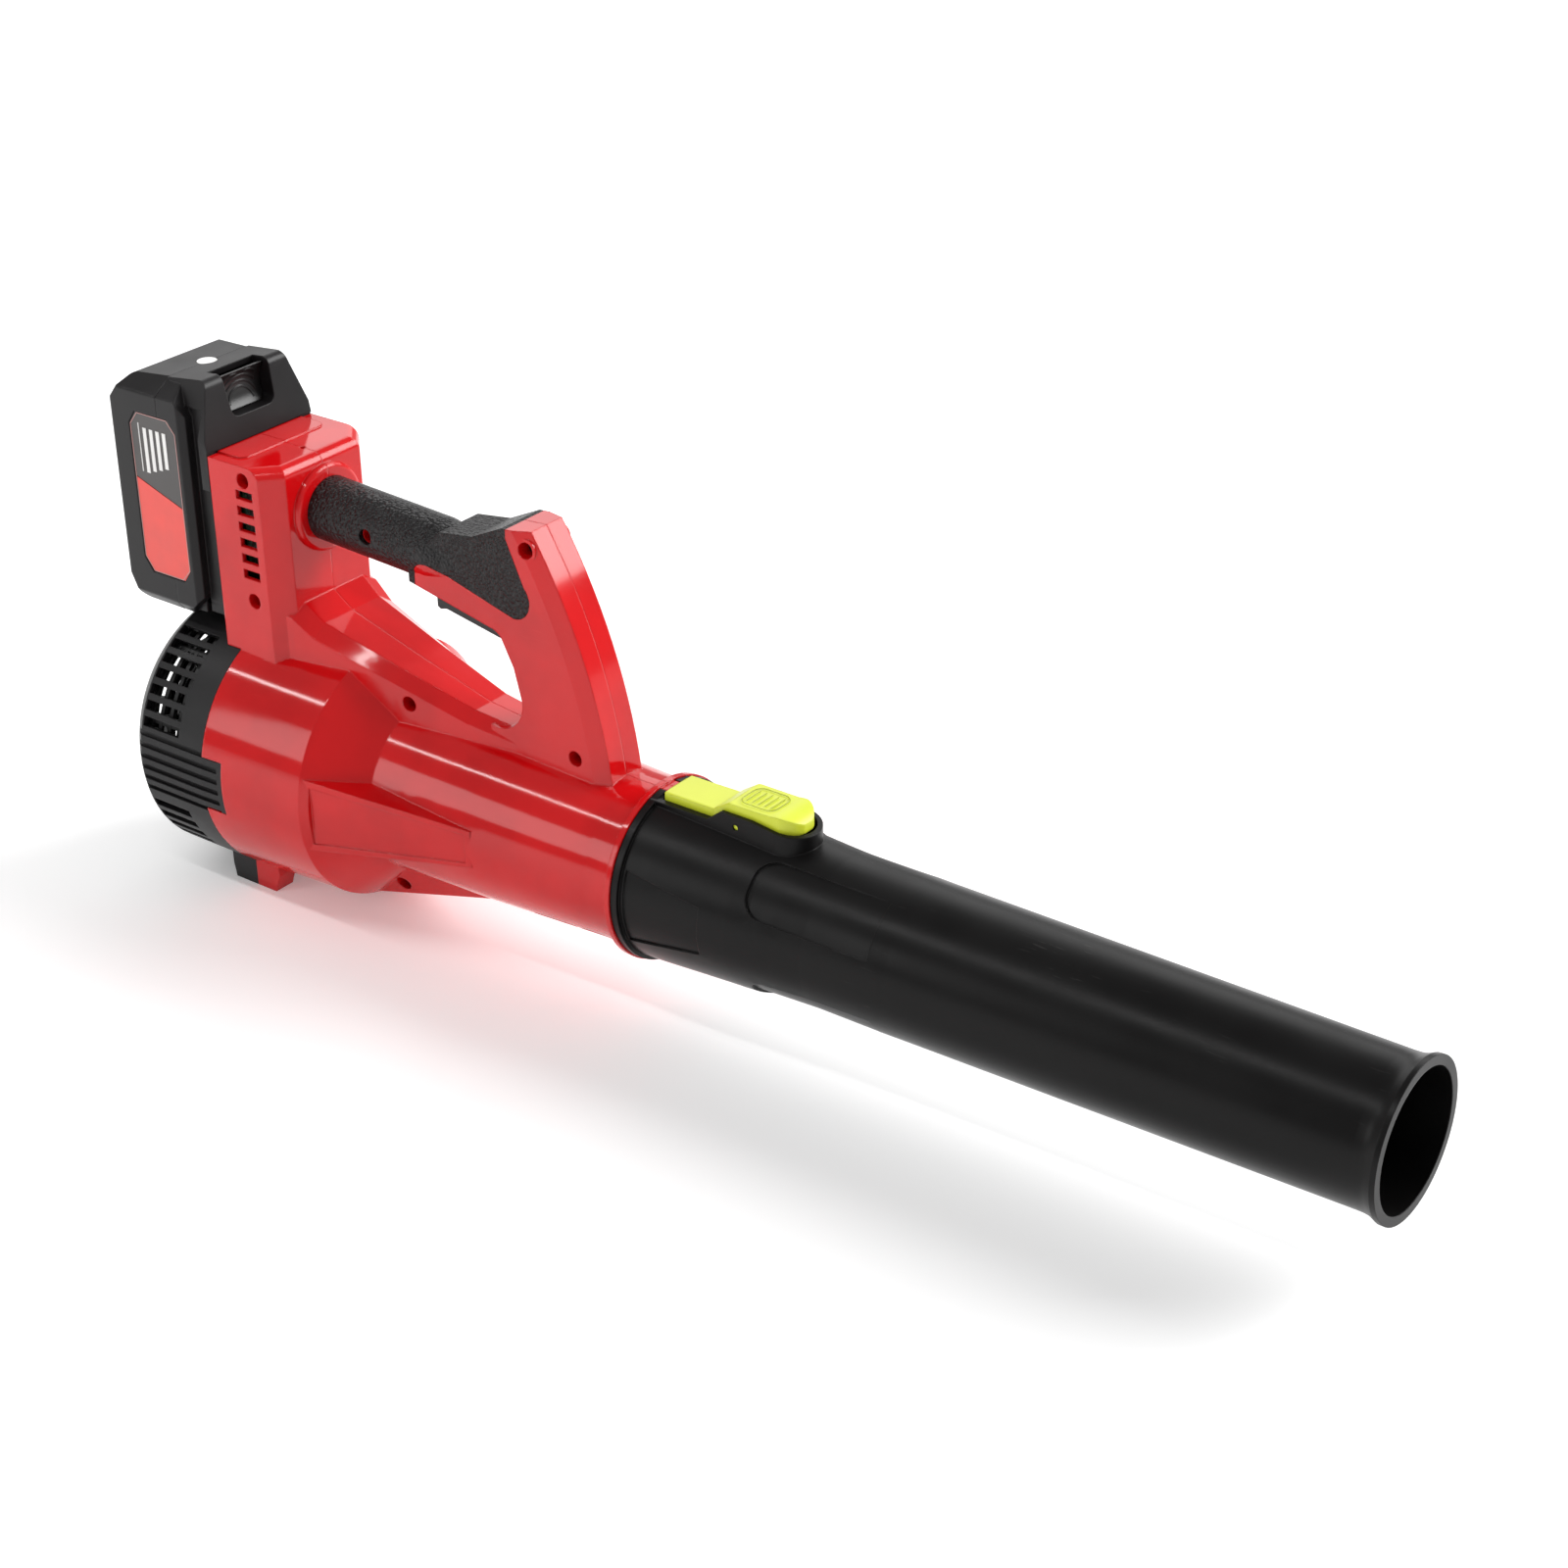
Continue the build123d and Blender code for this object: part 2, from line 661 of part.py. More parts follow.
def rear_grille():
    """The black intake cage: slots in two bands, a ribbed band between them, a ringed rear disc."""
    body = grille_skin()
    slot = span(-290, -264, -90, -60, -2.6, 2.6)
    angles = [-(18 + 7 * i) for i in range(7)] + [21 + 7 * i for i in range(5)]
    for angle in angles:
        body = body - Rot(angle, 0, 0) * slot - Rot(180 - angle, 0, 0) * slot
    groove = span(-296, -236.5, -90, -DRUM_REAR_R + 2.1, -1.5, 1.5)
    for i in range(6):
        angle = 12.2 - 5.0 * i
        body = body - Rot(angle, 0, 0) * groove - Rot(180 - angle, 0, 0) * groove
    spoke = span(GRILLE_REAR_X - 2, GRILLE_REAR_X + GRILLE_WALL + 2, -1.9, 1.9, 6, GRILLE_REAR_R)
    spokes = ring_of(spoke, 8, 22.5)
    for i in range(4):
        inner = 9 + 9.4 * i
        gaps = turned(
            (GRILLE_REAR_X - 1, inner),
            (GRILLE_REAR_X - 1, inner + 5.2),
            (GRILLE_REAR_X + GRILLE_WALL + 1, inner + 5.2),
            (GRILLE_REAR_X + GRILLE_WALL + 1, inner),
        )
        body = body - (gaps - spokes)
    body = body + (foot(False) - barrel_core())
    for y in (FOOT_SCREW_Y, -FOOT_SCREW_Y):
        body = body - foot_screw_hole(y)
    return body


def barrel_core():
    return rod_x(DRUM_REAR_R - 1.5, -300, -200)


def intake_basket():
    """The inner cage seen through the slots: rings and bars."""
    inner = BASKET_R - BASKET_WALL
    front = DRUM_REAR_X + 1.5
    flange = BASKET_R + 1.25
    cage = turned((front - 2.5, inner - 4), (front - 2.5, flange), (front, flange), (front, inner - 4))
    for i in range(7):
        x = BASKET_REAR_X + 6.6 * i
        cage = cage + turned((x, inner), (x, BASKET_R), (x + 2.4, BASKET_R), (x + 2.4, inner))
    bar = span(BASKET_REAR_X, front - 1, -1.3, 1.3, inner, BASKET_R - 0.2)
    for arm in ring_of(bar, 20):
        cage = cage + arm
    for radius in (18, 34, 50):
        rear = turned(
            (BASKET_REAR_X, radius - 1.3),
            (BASKET_REAR_X, radius + 1.3),
            (BASKET_REAR_X + 2, radius + 1.3),
            (BASKET_REAR_X + 2, radius - 1.3),
        )
        cage = cage + rear
    for arm in ring_of(span(BASKET_REAR_X, BASKET_REAR_X + 2, -1.3, 1.3, 17, inner + 1), 10):
        cage = cage + arm
    return cage


# ---------------------------------------------------------------- fan and motor


def fan_shroud():
    """The duct round the impeller, its guide vanes and the motor's cup."""
    inner = SHROUD_R - SHROUD_WALL
    ring = turned(
        (SHROUD_REAR_X, inner + 1.6),
        (SHROUD_REAR_X, SHROUD_R + 2.4),
        (SHROUD_REAR_X + 2.5, SHROUD_R + 2.4),
        (SHROUD_REAR_X + 2.5, SHROUD_R),
        (SHROUD_FRONT_X, SHROUD_R),
        (SHROUD_FRONT_X, inner),
        (SHROUD_REAR_X + 6, inner),
    )
    cup = turned(
        (CUP_REAR_X, 7.2),
        (CUP_REAR_X, CUP_R),
        (CUP_FRONT_X, CUP_R),
        (CUP_FRONT_X, CUP_R - CUP_WALL),
        (CUP_REAR_X + CUP_WALL, CUP_R - CUP_WALL),
        (CUP_REAR_X + CUP_WALL, 7.2),
    )
    vane = Pos(-196.5, 0, 0) * Rot(0, 0, 14) * span(-10, 10, -0.9, 0.9, CUP_R - 1.5, SHROUD_R - 1)
    vane = vane & turned((-212, CUP_R - 1), (-212, inner + 0.8), (-180, inner + 0.8), (-180, CUP_R - 1))
    body = ring + cup
    for arm in ring_of(vane, VANES, 25):
        body = body + arm
    for y in MOTOR_SCREW_Y:
        body = body - rod_x(1.6, CUP_REAR_X - 1, CUP_REAR_X + 4, y, 0)
    return body


def impeller():
    """Hub with a domed nose and pitched blades."""
    tip = SHROUD_R - SHROUD_WALL - TIP_GAP
    hub_face = joined(
        Line((HUB_FRONT_X, 18), (HUB_FRONT_X, HUB_R)),
        Line((HUB_FRONT_X, HUB_R), (HUB_REAR_X + 6, HUB_R)),
        ThreePointArc((HUB_REAR_X + 6, HUB_R), (HUB_REAR_X - 1.5, 18), (HUB_REAR_X - 4, 9)),
        Polyline((HUB_REAR_X - 4, 9), (HUB_REAR_X - 4, SHAFT_R + 0.01), (HUB_FRONT_X, SHAFT_R + 0.01)),
        Line((HUB_FRONT_X, SHAFT_R + 0.01), (HUB_FRONT_X, 6)),
        Polyline((HUB_FRONT_X, 6), (HUB_REAR_X + 4, 6), (HUB_REAR_X + 4, 18), (HUB_FRONT_X, 18)),
    )
    body = revolve(hub_face, axis=Axis.X)
    middle = (HUB_REAR_X + HUB_FRONT_X) / 2 + 1
    blade = Pos(middle, 0, 0) * Rot(0, 0, 38) * span(-10.5, 10.5, -1.0, 1.0, HUB_R - 3, tip + 4)
    limit = turned(
        (HUB_REAR_X + 1, HUB_R - 1),
        (HUB_REAR_X + 1, tip),
        (HUB_FRONT_X - 0.5, tip),
        (HUB_FRONT_X - 0.5, HUB_R - 1),
    )
    blade = blade & limit
    for arm in ring_of(blade, BLADES):
        body = body + arm
    return body


def bearing(x0):
    """Rings and balls of one ball bearing on the motor's shaft."""
    x1 = x0 + BEARING_WIDTH
    inner = turned((x0, SHAFT_R + RUNNING), (x0, 3.6), (x1, 3.6), (x1, SHAFT_R + RUNNING))
    outer = turned((x0, 5.4), (x0, BEARING_R - 0.05), (x1, BEARING_R - 0.05), (x1, 5.4))
    shield = turned((x0 + 0.6, 3.5), (x0 + 0.6, 5.5), (x1 - 0.6, 5.5), (x1 - 0.6, 3.5))
    return inner + shield + outer


def motor_can():
    inner = CAN_R - CAN_WALL
    shell = turned(
        (CAN_REAR_X, BEARING_R),
        (CAN_REAR_X, CAN_R),
        (CAN_FRONT_X, CAN_R),
        (CAN_FRONT_X, BEARING_R),
        (CAN_FRONT_X - BEARING_WIDTH, BEARING_R),
        (CAN_FRONT_X - BEARING_WIDTH, BEARING_R + 1.5),
        (CAN_FRONT_X - CAN_WALL, BEARING_R + 1.5),
        (CAN_FRONT_X - CAN_WALL, inner),
        (CAN_REAR_X + CAN_WALL, inner),
        (CAN_REAR_X + CAN_WALL, BEARING_R + 1.5),
        (CAN_REAR_X + BEARING_WIDTH, BEARING_R + 1.5),
        (CAN_REAR_X + BEARING_WIDTH, BEARING_R),
    )
    for y in MOTOR_SCREW_Y:
        shell = shell - rod_x(1.3, CAN_REAR_X - 1, CAN_REAR_X + 3, y, 0)
    return shell


def stator_core():
    """Laminated ring with six teeth."""
    outer = CAN_R - CAN_WALL - 0.02
    ring = turned((CORE_REAR_X, 17.6), (CORE_REAR_X, outer), (CORE_FRONT_X, outer), (CORE_FRONT_X, 17.6))
    tooth = span(CORE_REAR_X, CORE_FRONT_X, -1.6, 1.6, STATOR_BORE_R + 0.5, 18.2)
    shoe = span(CORE_REAR_X, CORE_FRONT_X, -4.6, 4.6, STATOR_BORE_R - 2, 14.6)
    bore = STATOR_BORE_R
    limit = turned((CORE_REAR_X, bore), (CORE_REAR_X, 19), (CORE_FRONT_X, 19), (CORE_FRONT_X, bore))
    for arm in ring_of((tooth + shoe) & limit, 6):
        ring = ring + arm
    return ring


def stator_windings():
    """One coil round each tooth."""
    rear = CORE_REAR_X - 3.2
    front = CORE_FRONT_X + 3.2
    coil = span(rear, front, -4.2, 4.2, 14.9, 17.0)
    coil = coil - span(CORE_REAR_X - 0.05, CORE_FRONT_X + 0.05, -1.7, 1.7, 14, 18)
    return ring_of(coil, 6)


def rotor_magnets():
    return turned(
        (CORE_REAR_X, SHAFT_R), (CORE_REAR_X, MAGNET_R), (CORE_FRONT_X, MAGNET_R), (CORE_FRONT_X, SHAFT_R)
    )


def tail_cone():
    """Closes the motor's cup and tapers the air back together."""
    inner = CUP_R - CUP_WALL - 0.05
    face = joined(
        Polyline(
            (CUP_FRONT_X, CUP_R),
            (CUP_FRONT_X, inner),
            (CUP_FRONT_X - 4, inner),
            (CUP_FRONT_X - 4, inner - 2),
            (CUP_FRONT_X + 2, inner - 2),
            (CUP_FRONT_X + 32, 4),
            (-114, 0),
            (-111, 0),
        ),
        ThreePointArc((-111, 0), (-128, 15.5), (CUP_FRONT_X, CUP_R)),
    )
    return revolve(face, axis=Axis.X)


# ---------------------------------------------------------------- electrics


def control_board():
    """Board in the block with its heat sink, capacitors and chips."""
    x = BOARD_FACE_X - BOARD_THICK
    board = span(x, BOARD_FACE_X, -25, 25, 76, 150)
    sink = span(x + 1.6, x + 4.2, -22, -2, 104, 142)
    for i in range(6):
        y = -21.5 + 3.7 * i
        sink = sink + span(x + 4.2, x + 8.0, y, y + 1.2, 104, 142)
    caps = [rod_x(4.5, x + 1.6, x + 13, 15, z) for z in (112, 124)]
    chips = [span(x + 1.6, x + 3.4, y, y + 8, 80, 88) for y in (-18, -4, 10)]
    return board, sink, caps, chips


def switch_body():
    """The trigger switch, bored for its plunger."""
    z0 = SWITCH_BOTTOM_Z
    body = span(-133, -105, -SWITCH_HALF_WIDTH, SWITCH_HALF_WIDTH, z0, z0 + 11.6)
    lug = span(-137, -133, -3, 3, z0 + 3, z0 + 9)
    body = body + lug - rod_z(PLUNGER_R + 0.08, z0 - 1, z0 + 8.5, PLUNGER_X, 0)
    return body


def switch_plunger():
    return rod_z(PLUNGER_R, TRIGGER_TOP_Z + 0.5, 129.8, PLUNGER_X, 0)


def trigger():
    """The long trigger, its pivot hole at the front, a lip at the rear."""
    top = TRIGGER_TOP_Z
    face = joined(
        Polyline((-134.8, top), (-134.8, 104.6), (-132.5, 103.4), (-129, 105), (-96, 98.8)),
        ThreePointArc((-96, 98.8), (-91.5, 100), (-90.4, 104)),
        Polyline((-90.4, 104), (-90.4, 114)),
        ThreePointArc((-90.4, 114), (-92, 116.3), (-94.5, 117)),
        Polyline((-94.5, 117), (-100, top), (-134.8, top)),
    )
    half = TRIGGER_HALF_WIDTH
    solid = side_plate(face, -half, half)
    pocket = span(-131, -102, -half + 2, half - 2, 108.5, top + 1) - span(-124.5, -118.5, -4, 4, 100, 130)
    hollow = pocket - side_plate(outline((-140, 90), (-140, 110.5), (-90, 102), (-90, 90)), -20, 20)
    solid = solid - hollow
    solid = solid - rod_y(TRIGGER_PIN_R + 0.05, -20, 20, TRIGGER_PIN_X, TRIGGER_PIN_Z)
    rounded = solid.edges().filter_by(Axis.Y).group_by(Axis.Z)[0]
    return fillet(rounded, 1.0)


def wire(points, radius, corner):
    """A lead along straight runs with equal round corners."""
    path = FilletPolyline(*points, radius=corner) if len(points) > 2 else Line(*points)
    return sweep(Plane(origin=path @ 0, z_dir=path % 0) * Circle(radius), path=path)


def motor_leads():
    """Three leads from the motor's cup up through the shoulder to the board."""
    leads = []
    for y in (-4.5, 0, 4.5):
        points = [(-176, y, CUP_R), (-176, y, 69.4), (-230, y, 77.6), (BOARD_FACE_X, y, 77.6)]
        leads.append(wire(points, 1.2, 6))
    return leads


def switch_leads():
    """Two leads from the board through the grip to the switch."""
    return [wire([(BOARD_FACE_X, y, 127.9), (-133, y, 127.9)], 1.1, 1) for y in (0.0, 4.5)]


def terminal_block():
    """Plastic block in the rear wall, with its flange inside."""
    x = BLOCK_REAR_X
    body = span(x - 5.5, x + WALL, -10.8, 10.8, 98.2, 113.8)
    flange = span(x + WALL, x + WALL + 3.5, -14, 14, 95, 117)
    body = body + flange
    for y in TERMINAL_Y:
        body = body - span(x - 6, x + 8, y - 0.4, y + 0.4, 104, 126)
    return body


def terminal_blades():
    """Three upright blades."""
    x = BLOCK_REAR_X
    blades = []
    for y in TERMINAL_Y:
        blade = span(x - 4.6, x - 1.0, y - 0.4, y + 0.4, 104, 125)
        blades.append(blade + span(x - 1.2, x + 7.4, y - 0.4, y + 0.4, 104, 111))
    return blades


# ---------------------------------------------------------------- nozzle and latch


def nozzle_outline():
    """Outer wall from the flange to the lip, as (x, radius)."""
    return [
        (FLANGE_FRONT_X, 43.6),
        (18, 43.0),
        (41, 41.8),
        (64, 40.7),
        (88, 39.2),
        (105, 38.3),
        (150, 37.5),
        (235, 36.7),
        (NOZZLE_LIP_X - 13, 35.3),
    ]


def nozzle_tube():
    """Spigot, flange, long taper and rolled lip, with the latch's boss on top."""
    walls = nozzle_outline()
    lip = NOZZLE_LIP_X
    outer = Polyline((GAP, SOCKET_R - GAP), (GAP, FLANGE_R), (FLANGE_FRONT_X, FLANGE_R), *walls)
    spigot = SOCKET_R - GAP
    bore = spigot - WALL
    rim = joined(
        Polyline((-SPIGOT_LENGTH, bore), (-SPIGOT_LENGTH, spigot), (GAP, spigot)),
        outer,
        Spline(walls[-1], (lip - 6.5, 36.0), (lip - 2.5, NOZZLE_LIP_R), tangents=((1, 0), (1, 0.5))),
        Polyline(
            (lip - 2.5, NOZZLE_LIP_R),
            (lip, NOZZLE_LIP_R),
            (lip, MOUTH_R),
            (lip - MOUTH_LENGTH, MOUTH_R),
            (235, 36.7 - NOZZLE_WALL),
            (105, 38.3 - NOZZLE_WALL),
            (60, bore),
            (-SPIGOT_LENGTH, bore),
        ),
    )
    body = revolve(rim, axis=Axis.X)
    boss = latch_boss()
    inside = turned((-20, 0), (-20, 38), (20, 38), (120, 37), (120, 0))
    body = body + (boss - inside)
    body = body - latch_pocket()
    body = body - span(-1, 15.0, -5.6, 5.6, 42.2, 60)
    side = 20
    body = body - rod_y(LATCH_PIN_R, -side, side, LATCH_PIN_X, LATCH_PIN_Z)
    groove = turned((-26.05, 38.2), (-26.05, 42), (-22.95, 42), (-22.95, 38.2))
    body = body - groove
    for cut in nozzle_recesses() + side_panels():
        body = body - cut
    return body


def latch_boss():
    """The raised surround of the latch lever, low behind and high round the pad."""
    half = BOSS_HALF_WIDTH
    face = joined(
        Polyline((BOSS_STEP_X, half), (GAP, half), (GAP, -half), (BOSS_FRONT_X - half, -half)),
        ThreePointArc((BOSS_FRONT_X - half, -half), (BOSS_FRONT_X, 0), (BOSS_FRONT_X - half, half)),
        Line((BOSS_FRONT_X - half, half), (BOSS_STEP_X, half)),
    )
    body = level_plate(face, 30, BOSS_HIGH_Z)
    step = BOSS_STEP_X
    above = outline(
        (-5, BOSS_LOW_Z), (step - 5, BOSS_LOW_Z), (step + 3, BOSS_HIGH_Z), (step + 3, 60), (-5, 60)
    )
    drop = side_plate(above, -30, 30)
    slope = side_plate(outline((60, BOSS_HIGH_Z), (100, BOSS_HIGH_Z - 5), (100, 60), (60, 60)), -30, 30)
    return body - drop - slope


def latch_pocket():
    """Room for the lever and its swing."""
    low = 41.2
    half = PAD_HALF_WIDTH + 0.5
    front = BOSS_FRONT_X - 2.6
    face = joined(
        Polyline((BOSS_STEP_X - 4, -half), (front - half, -half)),
        ThreePointArc((front - half, -half), (front, 0), (front - half, half)),
        Polyline((front - half, half), (BOSS_STEP_X - 4, half), (BOSS_STEP_X - 4, -half)),
    )
    deep = level_plate(face, low, 60)
    half = LEVER_HALF_WIDTH + 0.4
    return deep + span(LEVER_REAR_X - 0.7, BOSS_STEP_X, -half, half, low + 1.0, 60)


def nozzle_recesses():
    """Four shallow fields round the nozzle, round-ended behind and running out forwards."""
    room = turned(
        (RECESS_REAR_X - 4, RECESS_FLOOR_R),
        (RECESS_REAR_X - 4, 50),
        (RECESS_FRONT_X + 10, 50),
        (RECESS_FRONT_X, 37.6),
        (105, 37.55),
        (88, 38.2),
        (RECESS_REAR_X + 3, RECESS_FLOOR_R - 0.5),
    )
    field = span(RECESS_REAR_X, RECESS_FRONT_X + 10, -RECESS_HALF_WIDTH, RECESS_HALF_WIDTH, 20, 60)
    field = fillet(field.edges().filter_by(Axis.Z).sort_by(Axis.X)[:2], RECESS_CORNER)
    pocket = field & room
    return [Rot(angle, 0, 0) * pocket for angle in RECESS_ANGLES]


def side_panels():
    """A shallow tapering flat on each side of the nozzle, just ahead of the collar."""
    face = outline((6.0, 18.5), (48.5, 12.3), (48.5, -12.8), (6.0, -20.0))
    thick = turned((5.0, 42.7), (5.0, 50), (50.0, 50), (50.0, 40.6))
    panel = side_plate(face, -60, -20) & thick
    return [panel, mirrored(panel)]


def latch_lever():
    """Rear plate, raised ribbed pad, side cheeks for the pin and the hidden tooth."""
    half = LEVER_HALF_WIDTH
    plate = span(LEVER_REAR_X, BOSS_STEP_X - 3, -half, half, 42.7, 47.6)
    face = joined(
        Polyline((BOSS_STEP_X - 3, -PAD_HALF_WIDTH), (LEVER_FRONT_X - 9, -PAD_HALF_WIDTH)),
        ThreePointArc(
            (LEVER_FRONT_X - 9, -PAD_HALF_WIDTH),
            (LEVER_FRONT_X - 3.2, -PAD_HALF_WIDTH + 3.4),
            (LEVER_FRONT_X, -PAD_HALF_WIDTH + 9),
        ),
        Line((LEVER_FRONT_X, -PAD_HALF_WIDTH + 9), (LEVER_FRONT_X, PAD_HALF_WIDTH - 9)),
        ThreePointArc(
            (LEVER_FRONT_X, PAD_HALF_WIDTH - 9),
            (LEVER_FRONT_X - 3.2, PAD_HALF_WIDTH - 3.4),
            (LEVER_FRONT_X - 9, PAD_HALF_WIDTH),
        ),
        Line((LEVER_FRONT_X - 9, PAD_HALF_WIDTH), (BOSS_STEP_X - 3, PAD_HALF_WIDTH)),
        Line((BOSS_STEP_X - 3, PAD_HALF_WIDTH), (BOSS_STEP_X - 3, -PAD_HALF_WIDTH)),
    )
    pad = level_plate(face, 41.7, 60)
    rear = BOSS_STEP_X - 8
    limit = joined(
        Polyline((rear, 42.7), (rear, 47.6), (BOSS_STEP_X - 5, 47.6), (BOSS_STEP_X + 6, 54.6)),
        Line((BOSS_STEP_X + 6, 54.6), (LEVER_FRONT_X - 14, 54.6)),
        ThreePointArc((LEVER_FRONT_X - 14, 54.6), (LEVER_FRONT_X - 3, 53.2), (LEVER_FRONT_X + 1, 50)),
        Polyline((LEVER_FRONT_X + 1, 50), (LEVER_FRONT_X + 1, 46.5), (58, 42.7), (rear, 42.7)),
    )
    pad = pad & side_plate(limit, -20, 20)
    body = plate + pad
    body = body - span(LEVER_REAR_X - 1, 20, -5.8, 5.8, 40, CATCH_TOP_Z + 1.3)
    body = body + span(9.0, 11.5, -3, 3, CATCH_TOP_Z + 0.25, 46.5)
    body = body - rod_y(LATCH_PIN_R + 0.05, -20, 20, LATCH_PIN_X, LATCH_PIN_Z)
    body = body - rod_z(2.6, 40, 46.2, 70, 0)
    return body


# ---------------------------------------------------------------- battery pack


def pack_outline():
    """Side view of the pack, its corners cut and softly rounded."""
    face = outline(
        (PACK_REAR_X, 94),
        (PACK_REAR_X + 10, PACK_BOTTOM_Z + 0.5),
        (PACK_FRONT_X - 10, PACK_BOTTOM_Z),
        (PACK_FRONT_X, PACK_BOTTOM_Z + 11),
        (PACK_FRONT_X, 180.5),
        (PACK_FRONT_X - 8, PACK_TOP_Z),
        (PACK_SEAM_X, PACK_TOP_Z),
        (PACK_REAR_X + 14.3, PACK_REAR_TOP_Z),
        (PACK_REAR_X, 177.5),
    )
    return fillet(face.vertices().filter_by(lambda corner: corner.X < PACK_SEAM_X - 1), PACK_ROUND)


def pack_body(inset):
    """The pack as three crossed outlines, so that its long edges are bevelled."""
    half = PACK_HALF_WIDTH - inset
    side = pack_outline()
    if inset > 0:
        side = offset(side, amount=-inset, kind=Kind.INTERSECTION)
    top = PACK_TOP_Z - inset
    bottom = PACK_BOTTOM_Z + inset
    rear = PACK_REAR_X + inset
    front = PACK_FRONT_X - inset
    across = outline(
        (-half + PACK_BEVEL, bottom),
        (half - PACK_BEVEL, bottom),
        (half, bottom + 5.5),
        (half, top - 7.8),
        (half - 11.3, top),
        (-half + 11.3, top),
        (-half, top - 7.8),
        (-half, bottom + 5.5),
    )
    level = outline(
        (rear, -half + 7),
        (rear + 4, -half),
        (front - 3, -half),
        (front, -half + 3),
        (front, half - 3),
        (front - 3, half),
        (rear + 4, half),
        (rear, half - 7),
    )
    body = side_plate(side, -half, half)
    body = body & (Pos(rear, 0, 0) * extrude(Plane.YZ * across, amount=front - rear))
    return body & level_plate(level, bottom, top)


def head_body(inset):
    """The head over the block, its front leaning back, tapering to the top."""
    wide = BLOCK_HALF_WIDTH + 0.1 - inset
    narrow = HEAD_TOP_HALF_WIDTH - inset
    foot_z = 145 + inset
    low = BLOCK_TOP_Z + 0.8 + GAP + inset
    top = HEAD_TOP_Z - inset
    rear = PACK_SEAM_X + inset
    side = joined(
        Polyline(
            (rear, foot_z),
            (BLOCK_REAR_X - GAP - inset, foot_z),
            (BLOCK_REAR_X - GAP - inset, low),
            (-255.6 - inset, low),
            (-261.2 - inset, top - 5),
        ),
        ThreePointArc((-261.2 - inset, top - 5), (-262.9 - inset, top - 1.2), (-266, top)),
        Polyline((-266, top), (rear, PACK_TOP_Z - inset), (rear, foot_z)),
    )
    across = outline(
        (-wide, foot_z),
        (wide, foot_z),
        (wide, low + 6),
        (narrow, top),
        (-narrow, top),
        (-wide, low + 6),
    )
    return side_plate(side, -wide, wide) & (Pos(-300, 0, 0) * extrude(Plane.YZ * across, amount=60))


def neck():
    """The rail section between the pack and the block."""
    half = NECK_HALF_WIDTH
    return span(PACK_FRONT_X - 1, BLOCK_REAR_X - 2 * GAP, -half, half, PACK_BOTTOM_Z + 2, 170)


def neck_cuts():
    """Grooves for the block's T rails and the channel for its terminals, open below."""
    gap = 0.4
    cuts = []
    x = BLOCK_REAR_X
    for y in (17.0, -17.0):
        cuts.append(span(x - 6 - gap, x + 1, y - 2 - gap, y + 2 + gap, 60, 150 + gap))
        cuts.append(span(x - 9 - gap, x - 6 + gap, y - 5 - gap, y + 5 + gap, 60, 150 + gap))
    cuts.append(span(x - 9 - gap, x + 1, -10.8 - gap, 10.8 + gap, 60, 128))
    return cuts


def button_opening(gap, x0, x1, top):
    """The round-cornered opening in the head's front, or the button that stands in it."""
    low = BUTTON_LOW_Z + gap
    face = outline((-15.6 + gap, top), (15.6 - gap, top), (14.4 - gap, low), (-14.4 + gap, low))
    solid = Pos(x0, 0, 0) * extrude(Plane.YZ * face, amount=x1 - x0)
    return fillet(solid.edges().filter_by(Axis.X).group_by(Axis.Z)[0], 4.6)


def button_room():
    """The opening, the slit in the top behind the button, and the room behind for its travel."""
    front = button_opening(0, BUTTON_ROOM_REAR_X, -250, 194.6)
    slit_rear = BUTTON_BACK_X - BUTTON_TRAVEL - GAP
    return front + span(slit_rear, -250, -15.6, 15.6, 194.5, 205)


def label_recess(depth):
    """The shallow field for the side label."""
    face = outline(
        (-309.5, 171),
        (-304.5, 178),
        (-281, 178),
        (-276, 171.5),
        (-276, 97),
        (-281, 90.5),
        (-304, 90.5),
        (-309.5, 98),
    )
    return side_plate(face, -PACK_HALF_WIDTH - 1, -PACK_HALF_WIDTH + depth)


def head_gap():
    """The deep groove on each side between the pack and the head."""
    return both_sides(span(PACK_SEAM_X, -262, -60, -NECK_HALF_WIDTH, 140, 185))


def battery_cases():
    """The pack's two moulded halves."""
    shell = pack_body(0) - pack_body(PACK_WALL)
    rear = shell & span(-400, PACK_SEAM_X, -60, 60, 0, 300)
    front = shell & span(PACK_SEAM_X, -200, -60, 60, 0, 300)
    ahead = head_body(0) - head_gap() + neck()
    for cut in neck_cuts():
        ahead = ahead - cut
    hollow = head_body(PACK_WALL) - head_gap() & span(PACK_SEAM_X + 3, -250, -27, 27, 169, 300)
    hollow = hollow - span(-300, -250, -18.4, 18.4, 160, 300)
    front = front + (ahead - pack_body(0)) - hollow
    front = front + (span(BUTTON_ROOM_REAR_X - 2, PACK_FRONT_X, -18.4, 18.4, 174.5, 200) & pack_body(0.1))
    front = front - button_room()
    groove = label_recess(0.6)
    rear = rear - groove - mirrored(groove)
    front = front - groove - mirrored(groove)
    for y in PACK_SCREW_Y:
        front = front + pack_screw_post(y, PACK_SEAM_X, PACK_FRONT_X - 3) - pack_screw_hole(y)
        rear = rear + pack_screw_post(y, PACK_SEAM_X - 11, PACK_SEAM_X) - pack_screw_hole(y)
    sticker_room = rod_z(5.35, PACK_TOP_Z - 0.75, 220, PACK_SEAM_X - 1, 0)
    return rear - sticker_room, front - sticker_room


PACK_SCREW_Y = (-26.5, 26.5)
PACK_SCREW_Z = 79.6
PACK_SCREW_SEAT_X = -279.0


